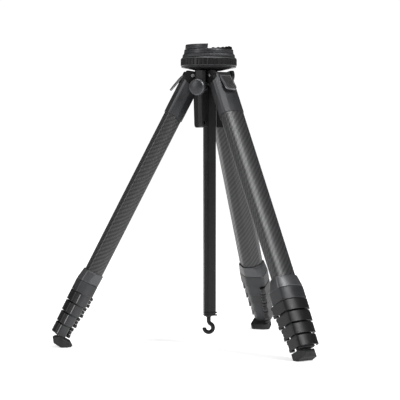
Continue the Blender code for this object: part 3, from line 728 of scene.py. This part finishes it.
# %% [markdown]
# ## Levers
#
# A clamp lever is a band that wraps the crown, from its hinge at one inner corner to a free end
# on the far side. The hinge is two barrels on the lever with the collar's lug between them, so
# from inside the leg the stack looks like a row of teeth. The band stops short of the next lever,
# which leaves a dark gap between the two, and a pale strip at its free end is a painted highlight
# that draws a pale line.

# %% Levers
BARREL_RADIUS = 3.3
BARREL_LENGTH = 4.1
BAND_THICKNESS = 1.9
SHADOW_GAP = 1.3  # each band stops this much short of the next lever


def lever_tip(index):
    """The free end's place across the leg, 2.7 mm plus 0.4 mm times the square of the step."""
    return 2.7 + 0.4 * (index - 1) ** 2 - TUBE_INSET


def lever_outline(index):
    """Round the barrel, over the crown, to the tip, and back inside at the band's thickness."""
    grow, shift = lever_growth(index), LEVER_SHIFT * (index - 1)
    outside = section(grow, shift=shift)[:CROWN_POINTS]
    inside = section(grow - BAND_THICKNESS, shift=shift)[:CROWN_POINTS]
    outer, inner = HALF_WIDTH + grow, HALF_WIDTH + grow - BAND_THICKNESS
    centre, tip = hinge_axis(index), lever_tip(index)
    start = math.asin((-inner - centre[1]) / BARREL_RADIUS)
    angle = np.linspace(start, 1.5 * math.pi, 14)
    knuckle = centre + BARREL_RADIUS * np.column_stack([np.cos(angle), np.sin(angle)])
    nose = eased([outside[-1], (tip, outer), (tip, inner), inside[-1]], 0.7, closed=False, count=4)
    return np.concatenate([knuckle, outside, nose[1:-1], inside[::-1]])


def band_outline(index):
    """The lever without its barrel: it stops just outside the hinge's axis."""
    outline = lever_outline(index)[14:]
    inner = HALF_WIDTH + lever_growth(index) - BAND_THICKNESS
    x = hinge_axis(index)[0] + 0.6
    return np.concatenate([[(x, -inner), (x - 0.3, -inner - 0.9), (x, -inner - 1.86)], outline])


for leg in LEGS:
    for index in range(1, 5):
        top, end = lever_top(index) + GAP, lever_top(index + 1) - GAP
        name = f"leg_{leg}_lever_{index}"

        def on_leg(points, leg=leg):
            return leg_to_world(points, leg)

        shells = [prism(band_outline(index), top, end - SHADOW_GAP, lever_black, on_leg)]
        for low, high in ((top + 0.4, top + BARREL_LENGTH), (end - BARREL_LENGTH, end - 0.4)):
            shells.append(barrel(index, low, high, BARREL_RADIUS, leg, lever_black))
        outer = HALF_WIDTH + lever_growth(index)
        tip = lever_tip(index)
        # A pale strip along the free end: a painted highlight on the band's edge.
        highlight_strip = [(tip - 0.1, outer - 1.5), (tip - 0.1, outer - 0.4), (tip + 0.2, outer + 0.05)]
        highlight_strip += [(tip + 0.9, outer + 0.08), (tip + 1.1, outer - 0.3), (tip + 0.6, outer - 1.5)]
        shells.append(prism(highlight_strip, top + 0.4, end - SHADOW_GAP - 0.4, edge_highlight_paint, on_leg))
        piece(f"{name}_band", name, shells, (name,), bevel=0.35)
print("lever bands stand out", [round(lever_growth(i), 2) for i in range(1, 5)], "mm")

# %% [markdown]
# ## Castings and feet
#
# The leg's casting is a yoke: it holds the tube, carries the pivot, and has a pocket for the angle
# tab. Its solid already has all of that, so it is refined with wider rounded edges. The foot is a
# moulded rubber block whose facets stay crisp.

# %% Castings and feet
for leg in LEGS:
    upper = f"leg_{leg}_upper"
    refined(f"leg_{leg}_casting", upper, charcoal, bevel=0.55)
    refined(f"leg_{leg}_foot", f"leg_{leg}_section_5", foot_rubber, bevel=0.7)
print("castings and feet are refined for", len(LEGS), "legs")

# %% [markdown]
# ## Angle tabs
#
# Pulling the tab out of its pocket lets the leg pass its stop. It is a shield-shaped plate, painted
# pale for the highlight on its rim, with a ribbed rubber pad, and it tips about its top edge. It is
# drawn in its own plane, across and along, then leaned into the leg's frame.

# %% Angle tabs
TAB_HINGE = (8.1, 4.5)
TAB_TILT = math.radians(13.0)
TAB_HALF = 8.0
TAB_LENGTH = 22.8
TAB_THICKNESS = 2.2
PAD_RIBS = 8
RIB_PITCH = 1.8


def shield(inset, steps=9):
    """Square at the hinge, with two quarter circles at the free end: (across, along) points."""
    half, end = TAB_HALF - inset, TAB_LENGTH - inset
    radius = 0.72 * half
    angle = np.linspace(0.0, math.pi / 2, steps)
    right = np.column_stack(
        [half - radius + radius * np.cos(angle), end - radius + radius * np.sin(angle)]
    )
    left = right[::-1] * (-1.0, 1.0)
    return np.concatenate([[(-half, inset), (half, inset)], right, left])


def tab_to_leg(rings):
    """(across, along, out) of the tab to the leg's X, Y and S."""
    across, along, out = np.moveaxis(np.asarray(rings, float), -1, 0)
    sine, cosine = math.sin(TAB_TILT), math.cos(TAB_TILT)
    x = TAB_HINGE[0] + out * cosine + along * sine
    s = TAB_HINGE[1] - out * sine + along * cosine
    return np.stack([x, across, s], axis=-1)


def tab_stack(levels, finish, leg):
    """A row of shields, each (inset, height out of the plate)."""
    rings = stations([shield(inset) for inset, _ in levels], [out for _, out in levels])
    return skin(leg_to_world(tab_to_leg(rings), leg), finish)


for leg in LEGS:
    plate = [(0.3, 0.0), (0.0, 0.3), (0.0, 1.5), (0.7, TAB_THICKNESS), (1.7, TAB_THICKNESS)]
    plate += [(2.0, TAB_THICKNESS - 0.5)]
    pad = [(2.1, 1.0), (2.1, 1.9), (2.5, 2.25)]
    # The plate's pale grey is a painted highlight on the tab's rim.
    shells = [tab_stack(plate, edge_highlight_paint, leg), tab_stack(pad, pad_rubber, leg)]
    for rib in range(PAD_RIBS):
        along = 4.8 + RIB_PITCH * rib
        half = TAB_HALF - 3.3 - 1.1 * max(0, rib - 5)
        bar = [(-half, along), (half, along), (half, along + 0.9), (-half, along + 0.9)]
        levels = [(1.0, 2.0), (1.0, 2.45), (0.75, 2.6)]
        rings = []
        for share, out in levels:
            middle = np.mean(bar, axis=0)
            ring = middle + (np.array(bar) - middle) * (1.0, share)
            rings.append(np.column_stack([ring, np.full(4, out)]))
        shells.append(skin(leg_to_world(tab_to_leg(rings), leg), pad_rubber))
    name = f"leg_{leg}_angle_tab"
    piece(f"{name}_plate", f"leg_{leg}_tab", shells, (name,), smooth=28.0)
print("angle tabs", 2 * TAB_HALF, "by", TAB_LENGTH, "mm")

# %% [markdown]
# ## Pivot pins
#
# Each leg turns on a steel pin with a hexagon socket at both ends. A hexagon is a circle whose
# radius follows apothem / cos(angle from the middle of the side), so the socket is one more pair
# of rings on the same turned part.

# %% Pivot pins
PIN_RADIUS = 2.4
PIN_HALF = 15.5
HEX_APOTHEM = 1.25


def pin_shell(leg):
    """Hexagon socket, face and chamfer at one end, and the same rows mirrored at the other."""
    angle = np.linspace(0.0, math.tau, 48, endpoint=False)
    side = np.mod(angle, math.pi / 3) - math.pi / 6
    hexagon = HEX_APOTHEM / np.cos(side)
    rows = [(0.2 * hexagon, 1.4), (hexagon, 1.4), (hexagon, 0.0), (PIN_RADIUS - 0.4, 0.0)]
    rows += [(PIN_RADIUS, 0.4)]
    half = [(radius + 0 * angle, PIN_HALF - depth) for radius, depth in rows]
    both = half + [(radius, -y) for radius, y in reversed(half)]
    rings = [
        np.stack([radius * np.cos(angle), np.full(48, y), radius * np.sin(angle)], -1)
        for radius, y in both
    ]
    return skin(leg_to_world(rings, leg), bare_steel)


for leg in LEGS:
    name = f"leg_{leg}_pivot_pin"
    piece(f"{name}_turned", "hub", [pin_shell(leg)], (name,))
print("pins", 2 * PIN_HALF, "mm long")

# %% [markdown]
# ## Hub
#
# The hub is one cast and machined block: a core round the column, a lobe and a fin between each
# pair of legs, and two ears for each pivot pin. Its solid is refined, because its shape comes
# from many cuts.

# %% Hub
refined("hub", "hub", black_satin, bevel=0.45)
print("hub from", [round(height, 1) for height in top_and_bottom("hub")[::-1]], "mm")

# %% [markdown]
# ## Centre column
#
# The column is a rounded triangle, so that it fits between the three folded legs and can't turn.
# Each corner is an arc of 120 degrees, joined to the next by a flat. A fine groove runs down the
# middle of each rounded corner, and a disc at the top carries the head.

# %% Centre column
COLUMN_FLAT = 6.1
COLUMN_LOBE = 8.6
COLUMN_WALL = 1.2
COLUMN_GROOVE = 0.3


def column_section(grow, groove=0.0, steps=17):
    """Arcs of radius (lobe - reach + grow) about three centres, less a narrow square groove."""
    reach = 2 * (COLUMN_LOBE - COLUMN_FLAT)
    sweep = np.radians(np.linspace(-60.0, 60.0, steps))
    notch = np.where(np.abs(sweep) < math.radians(9.0), groove, 0.0)
    radius = COLUMN_LOBE - reach + grow - notch
    arcs = []
    for middle in np.radians([0.0, 120.0, 240.0]):
        centre = reach * np.array([math.cos(middle), math.sin(middle)])
        angle = middle + sweep
        arcs.append(centre + radius[:, None] * np.column_stack([np.cos(angle), np.sin(angle)]))
    return np.concatenate(arcs)


column_top, column_bottom = top_and_bottom("column_tube")
head_low = column_top - 2.2
outer, bore = column_section(0, COLUMN_GROOVE), column_section(-COLUMN_WALL)
walls = [(column_section(-0.3, COLUMN_GROOVE), column_bottom), (outer, column_bottom + 0.4)]
walls += [(outer, head_low + 0.2), (bore, head_low + 0.2), (bore, column_bottom)]
column_rings = stations(*zip(*walls))
tube = skin(column_to_world(column_rings), black_satin, wrap=True)
disc = [(0.3, head_low), (9.9, head_low), (10.5, head_low + 0.5), (10.5, column_top - 0.4)]
disc += [(10.1, column_top), (0.3, column_top)]
shells = [tube, turned(disc, black_satin)]
piece("column_extrusion", "column", shells, ("column_tube",), smooth=24.0)
print("column", round(column_top - column_bottom, 1), "mm long")

# %% [markdown]
# ## Hook
#
# The column's bottom cap locks in with two small wings and carries a hook for ballast. The hook is
# a thick wire: circles along a path that drops, then turns most of the way round a loop. Each
# circle stands across the path, so its frame is the path's tangent and the Y axis.

# %% Hook
HOOK_WIRE = 2.4
HOOK_LOOP = 5.2
HOOK_DROP = 19.0
cap_top = column_bottom - GAP
cap_low = cap_top - 4.7
loop_z = cap_top - HOOK_DROP


def swept(path, radius, finish, steps=20):
    """Circle k: path point + radius (cos a N + sin a Y), with N square to the tangent."""
    path = np.asarray(path, float)
    tangent = np.gradient(path, axis=0)
    tangent /= np.linalg.norm(tangent, axis=1)[:, None]
    normal = np.column_stack([-tangent[:, 2], np.zeros(len(path)), tangent[:, 0]])
    angle = np.linspace(0.0, math.tau, steps, endpoint=False)
    radius = np.asarray(radius, float)[:, None, None]
    rings = path[:, None] + radius * (
        np.cos(angle)[None, :, None] * normal[:, None] + np.sin(angle)[None, :, None] * (0, 1, 0)
    )
    return skin(column_to_world(rings), finish)


bend = np.radians(np.linspace(62.0, -184.0, 40))
loop = np.column_stack([HOOK_LOOP * np.cos(bend), 0 * bend, loop_z + HOOK_LOOP * np.sin(bend)])
neck_z = np.linspace(cap_low + 0.4, loop_z + HOOK_LOOP + 2.6, 8)
neck = np.column_stack([0 * neck_z, 0 * neck_z, neck_z])
t = np.linspace(0.0, 1.0, 10)[1:-1, None]
knee = np.array([0.6, 0.0, loop_z + HOOK_LOOP + 0.6])
swing = (1 - t) ** 2 * neck[-1] + 2 * t * (1 - t) * knee + t**2 * loop[0]
wire = np.concatenate([neck, swing, loop])
thickness = np.full(len(wire), HOOK_WIRE)
thickness[-3:] = (HOOK_WIRE, HOOK_WIRE - 0.25, HOOK_WIRE - 0.9)
cap_rows = [(-0.5, cap_low), (0.0, cap_low + 0.5), (0.0, cap_low + 1.6), (-0.35, cap_low + 1.9)]
cap_rows += [(-0.35, cap_low + 2.5), (0.0, cap_low + 2.8), (0.0, cap_top - 0.4), (-0.4, cap_top)]
cap_rings = stations([column_section(g) for g, _ in cap_rows], [z for _, z in cap_rows])
shells = [skin(column_to_world(cap_rings), black_satin), swept(wire, thickness, black_satin)]
collar_rows = [(0.3, cap_low + 0.2), (3.4, cap_low + 0.2), (3.4, cap_low - 0.9)]
collar_rows += [(2.7, cap_low - 1.6), (0.3, cap_low - 1.6)]
shells.append(turned(collar_rows, black_satin, 48))
for height in (cap_low, cap_low + 3.2):
    wing = eased([(6.0, -2.2), (10.2, -1.6), (10.2, 1.6), (6.0, 2.2)], 0.7)
    shells.append(prism(wing, height, height + 1.3, black_satin, column_to_world))
piece("ballast_hook", "hook", shells, ("hook",), bevel=0.15, smooth=32.0)
print("hook loop centre at", round(loop_z, 1), "mm")

# %% [markdown]
# ## Column knob
#
# The knob that clamps the column is a turned button with a knurled rim. The rim's flutes are a
# cosine raised to a high power, taken off the radius, so that the ridges stay round and the valleys
# narrow. It is turned about Z first and then laid along its own joint's axis.

# %% Column knob
KNOB_RADIUS = 9.6
KNOB_SEAT = 29.0
KNOB_FACE = 35.0
KNOB_FLUTES = 36
knob_joint = joints["column_knob_turn"]


def knob_to_world(points):
    """Z of the turned part becomes the joint's axis, measured from the column."""
    axis = np.array(knob_joint["axis"])
    basis = np.array([np.cross((0, 0, 1), axis), (0, 0, 1), axis])
    centre = np.array([axis_x * MM, axis_y * MM, knob_joint["pos_m"][2]])
    return centre + np.asarray(points) * MM @ basis


def turned_knob(profile, finish, steps, flutes=None):
    """A turned shape, moved from the column's axis to the knob's own."""
    shell = turned(profile, finish, steps, flutes)
    local = shell["points"] / MM - (axis_x, axis_y, 0.0)
    return {**shell, "points": knob_to_world(local)}


profile = [(0.3, KNOB_FACE + 3.0), (4.0, KNOB_FACE + 2.8), (6.6, KNOB_FACE + 2.2)]
profile += [(8.2, KNOB_FACE + 1.5), (8.7, KNOB_FACE + 1.1), (9.3, KNOB_FACE + 0.4)]
profile += [(KNOB_RADIUS, KNOB_FACE - 0.2), (KNOB_RADIUS, KNOB_SEAT + 1.6)]
profile += [(KNOB_RADIUS - 1.2, KNOB_SEAT + 0.1), (2.3, KNOB_SEAT + 0.05), (2.3, 9.3), (0.3, 9.3)]
shells = [turned_knob(profile, charcoal, 288, (slice(6, 8), KNOB_FLUTES, 0.45))]
# The rim's chamfer is painted paler as a highlight.
rim = [(8.3, KNOB_FACE + 1.55), (9.35, KNOB_FACE + 0.5), (9.35, KNOB_FACE - 0.4), (8.3, KNOB_FACE)]
shells.append(turned_knob(rim, pale_painted_highlight, 96))
piece("clamp_knob", "column_knob", shells, ("column_knob",), smooth=30.0)
print("knob", 2 * KNOB_RADIUS, "mm across")

# %% [markdown]
# ## Ball and stem
#
# A small hard ball on a neck carries the head. Little of it shows under the head's skirt. The ball
# is turned smooth and bright, and a black collar covers the neck.

# %% Ball and stem
ball_top, stem_low = top_and_bottom("ball_stem")
BALL_RADIUS = 9.5
NECK_RADIUS = 5.5
ball_z = ball_top - BALL_RADIUS
angle = np.linspace(0.03, math.pi - math.asin(NECK_RADIUS / BALL_RADIUS), 28)
profile = np.column_stack([BALL_RADIUS * np.sin(angle), ball_z + BALL_RADIUS * np.cos(angle)])
foot_rows = [(5.5, stem_low + 3.2), (5.8, stem_low + 2.3), (7.0, stem_low + 1.75)]
foot_rows += [(10.1, stem_low + 1.7), (10.5, stem_low + 1.3), (10.5, stem_low), (0.3, stem_low)]
collar = [(0.3, stem_low + 8.0), (6.0, stem_low + 8.0), (6.3, stem_low + 7.4)]
collar += [(6.3, stem_low + 3.4), (7.4, stem_low + 2.0), (10.3, stem_low + 1.9)]
collar += [(10.5, stem_low + 1.5), (10.5, stem_low - 0.1), (0.3, stem_low - 0.1)]
shells = [turned(np.concatenate([profile, foot_rows]), bare_steel), turned(collar, black_satin)]
piece("ball_and_neck", "ball_stem", shells, ("ball_stem",))
print("ball centre at", round(ball_z, 2), "mm")

# %% [markdown]
# ## Head body and jaws
#
# The head is upside down: its body holds the ball from above, with a conical skirt below, a flat
# platform on top, and a fixed jaw that is part of it. A jaw is the part of a disc beyond a chord.
# Raising its outline ring by ring, with the chord further out at the bottom, cuts the dovetail
# that grips a camera plate.

# %% Head body and jaws
JAW_RADIUS = 27.9
JAW_CHORD = 20.5
JAW_HEIGHT = 5.0
JAW_HALF = 17.4
JAW_AZIMUTH = 42.0
base = top_and_bottom("head_body")[1]
adjust_top, adjust_low = top_and_bottom("adjust_ring")
lock_top, lock_low = top_and_bottom("lock_ring")
ADJUST_RADIUS = 32.9
LOCK_RADIUS = 30.75
adjust_seat = ADJUST_RADIUS - 5.3
lock_seat = LOCK_RADIUS - 6.6


def segment(chord, radius, azimuth, steps=41):
    """The arc of a disc between two upright corners, then the chord between them."""
    half = math.asin(JAW_HALF / radius)
    arc = np.linspace(-half, half, steps)
    outline = np.column_stack([radius * np.cos(arc), radius * np.sin(arc)])
    side = np.linspace(outline[-1], outline[0], 9)[1:-1]
    side[:, 0] = chord
    turn = math.radians(azimuth)
    basis = np.array([[math.cos(turn), math.sin(turn)], [-math.sin(turn), math.cos(turn)]])
    return np.concatenate([outline, side]) @ basis


def jaw(levels, azimuth, finish):
    """Rings of (chord, radius, height above the platform)."""
    outlines = [segment(chord, radius, azimuth) for chord, radius, _ in levels]
    rings = stations(outlines, [platform + height for _, _, height in levels])
    return skin(column_to_world(rings), finish)


dome = np.linspace(math.pi / 2, 0.03, 16)
socket = np.column_stack([9.8 * np.sin(dome), ball_z + 9.8 * np.cos(dome)])
profile = [(0.3, platform), (9.0, platform), (9.2, platform - 0.25), (9.8, platform - 0.25)]
profile += [(10.0, platform), (lock_seat - 0.8, platform), (lock_seat, platform - 0.8)]
profile += [(lock_seat, lock_low - GAP), (adjust_seat, lock_low - GAP)]
profile += [(adjust_seat, adjust_low - GAP), (32.3, adjust_low - GAP), (32.3, adjust_low - 0.7)]
profile += [(31.8, adjust_low - 1.1), (24.0, base + 2.3), (23.6, base + 1.9), (22.6, base + 1.9)]
profile += [(15.4, base + 0.15), (14.9, base), (13.4, base), (9.8, base + 4.5)]
shells = [turned(profile + socket.tolist(), charcoal, 160)]
fixed = [(22.2, JAW_RADIUS - 0.3, -0.2), (22.2, JAW_RADIUS, 0.2), (22.0, JAW_RADIUS, 1.5)]
fixed += [(21.9, JAW_RADIUS - 0.4, 1.7), (21.7, JAW_RADIUS - 0.4, 2.0)]
fixed += [(21.5, JAW_RADIUS - 0.1, 2.2), (JAW_CHORD, JAW_RADIUS - 0.5, 4.2)]
fixed += [(JAW_CHORD, JAW_RADIUS - 0.7, 4.7), (JAW_CHORD + 0.3, JAW_RADIUS - 1.0, JAW_HEIGHT)]
shells.append(jaw(fixed, JAW_AZIMUTH + 180, charcoal))
piece("head_casting", "head_body", shells, ("head_body",), smooth=28.0)

loose = [(22.0, JAW_RADIUS - 0.3, 0.3), (22.0, JAW_RADIUS, 0.7), (21.5, JAW_RADIUS, 1.8)]
loose += [(20.5, JAW_RADIUS - 0.4, 2.9), (20.8, JAW_RADIUS - 0.9, 3.3)]
shells = [jaw(loose, JAW_AZIMUTH, black_satin)]
for number in range(5):
    bearing = math.radians(JAW_AZIMUTH + 14.5 * (number - 2))
    place = np.array([math.cos(bearing), math.sin(bearing)]) * (JAW_RADIUS - 2.5)
    rise = [(0.2, 4.35), (1.0, 4.2), (1.7, 3.8), (2.1, 3.2), (2.2, 2.4), (0.2, 2.2)]
    bump = turned(rise, black_satin, 24)
    offset = np.array([*place, platform]) * MM
    shells.append({**bump, "points": bump["points"] + offset})
piece("sprung_jaw", "moving_jaw", shells, ("moving_jaw",), smooth=30.0)
print("jaws stand", JAW_HEIGHT, "mm above the platform,", 2 * JAW_CHORD, "mm apart")

# %% [markdown]
# ## Rings of the head
#
# Two rings turn round the body. The lower one sets the ball's friction and has wide shallow
# flutes between two chamfers painted paler as highlights. The upper one locks the clamp: two fine
# grooves run round it, over a band of close knurling.

# %% Head rings
FRICTION_FLUTES = 36
LOCK_KNURLS = 120
low, high, radius = adjust_low, adjust_top, ADJUST_RADIUS
inner = ADJUST_RADIUS - 5.0
profile = [(inner, high), (LOCK_RADIUS + 0.6, high), (31.6, high - 0.25), (32.4, high - 1.2)]
profile += [(radius, high - 2.0), (radius, high - 2.2), (radius, low + 1.6), (radius, low + 1.4)]
profile += [(radius - 1.0, low), (inner, low)]
fluted = turned(profile, black_satin, 432, (slice(5, 7), FRICTION_FLUTES, 0.55), wrap=True)
# The top chamfer is painted paler as a highlight.
trim = [(31.75, high - 0.25), (32.45, high - 1.15), (32.7, high - 1.5), (32.2, high - 1.5)]
trim += [(31.4, high - 0.5)]
shells = [fluted, turned(trim, pale_painted_highlight, 144, wrap=True)]
# The lower chamfer is painted paler still, as a brighter highlight.
trim = [(radius - 0.1, low + 1.35), (radius - 0.45, low + 0.75), (radius - 1.2, low + 0.9)]
shells.append(turned(trim, edge_highlight_paint, 144, wrap=True))
piece("friction_ring", "adjust_ring", shells, ("adjust_ring",), smooth=26.0)

low, high = lock_low, lock_top
inner = LOCK_RADIUS - 6.3
profile = [(inner, high), (28.0, high), (28.3, high - 0.2), (28.6, high - 0.6)]
profile += [(28.9, high - 2.2), (28.6, high - 2.35), (28.6, high - 2.75), (28.95, high - 2.9)]
profile += [(29.1, high - 4.6), (29.3, high - 4.75), (28.95, high - 5.0), (29.0, high - 5.3)]
profile += [(29.8, high - 5.6), (30.75, low + 2.2), (30.75, low + 0.3), (30.45, low), (inner, low)]
knurled = turned(profile, charcoal, 480, (slice(12, 15), LOCK_KNURLS, 0.16), wrap=True)
piece("locking_ring", "lock_ring", [knurled], ("lock_ring",), smooth=30.0)
print("rings", 2 * ADJUST_RADIUS, "and", 2 * LOCK_RADIUS, "mm across")

# %% [markdown]
# ## Studio
#
# The finishes are dark, so too much light from all round would turn them grey. The world is white
# only where the camera looks straight at it, and is almost dark for every other ray. Three area
# lights, one on each side and one above, give the pale streaks on the crowns of the legs. The
# floor glows a little more with distance from the tripod, so it melts into the background and
# keeps faint contact shadows near the feet.

# %% Floor, world and lights
floor_mesh = bpy.data.meshes.new("studio_floor")
reach = 12.0
corners = [(-reach, -reach, 0.0), (reach, -reach, 0.0), (reach, reach, 0.0), (-reach, reach, 0.0)]
floor_mesh.from_pydata(corners, [], [(0, 1, 2, 3)])
floor = bpy.data.objects.new("studio_floor", floor_mesh)
paper = new_finish("studio_paper", (0.9, 0.9, 0.9), 0.7, Specular_IOR_Level=0.0)
from_middle = add_node(paper, "VectorMath", {0: object_coordinates(paper)}, operation="LENGTH")
spread = {"Value": from_middle.outputs["Value"], 1: 0.25, 2: 1.1, 3: 0.62, 4: 1.0}
glow = add_node(paper, "MapRange", spread).outputs[0]
paper_shader = paper.node_tree.nodes["Principled BSDF"]
paper.node_tree.links.new(glow, paper_shader.inputs["Emission Strength"])
paper_shader.inputs["Emission Color"].default_value = (1, 1, 1, 1)
floor_mesh.materials.append(paper)
floor.location.z = -0.0002
bpy.context.scene.collection.objects.link(floor)

world = bpy.data.worlds.new("studio_room")
world.use_nodes = True
nodes, links = world.node_tree.nodes, world.node_tree.links
room = nodes["Background"]
room.inputs["Color"].default_value = (1.0, 1.0, 1.0, 1.0)
room.inputs["Strength"].default_value = 0.06
backdrop = nodes.new("ShaderNodeBackground")
backdrop.inputs["Color"].default_value = (1.0, 1.0, 1.0, 1.0)
backdrop.inputs["Strength"].default_value = 1.05
choice = nodes.new("ShaderNodeMixShader")
links.new(nodes.new("ShaderNodeLightPath").outputs["Is Camera Ray"], choice.inputs[0])
links.new(room.outputs[0], choice.inputs[1])
links.new(backdrop.outputs[0], choice.inputs[2])
links.new(choice.outputs[0], nodes["World Output"].inputs["Surface"])
bpy.context.scene.world = world
bpy.context.scene.view_settings.view_transform = "Standard"


def softbox(name, place, target, size, energy):
    """An area light at a place in metres, turned to face its target."""
    data = bpy.data.lights.new(name, "AREA")
    data.shape, data.size, data.size_y = "RECTANGLE", *size
    data.energy = energy
    light = bpy.data.objects.new(name, data)
    x, y, z = (b - a for a, b in zip(place, target))
    light.location = place
    light.rotation_euler = (
        math.atan2(math.hypot(x, y), -z),
        0.0,
        math.atan2(y, x) - math.pi / 2,
    )
    bpy.context.scene.collection.objects.link(light)
    return light


middle = (axis_x * MM, 0.0, 0.2)
softbox("key_softbox", (0.9, -1.0, 1.5), middle, (0.4, 0.9), 22.0)
softbox("left_softbox", (-1.4, -0.7, 1.0), middle, (0.35, 1.2), 12.0)
softbox("top_softbox", (0.0, 0.1, 1.6), middle, (0.8, 0.8), 8.0)
print("studio ready")
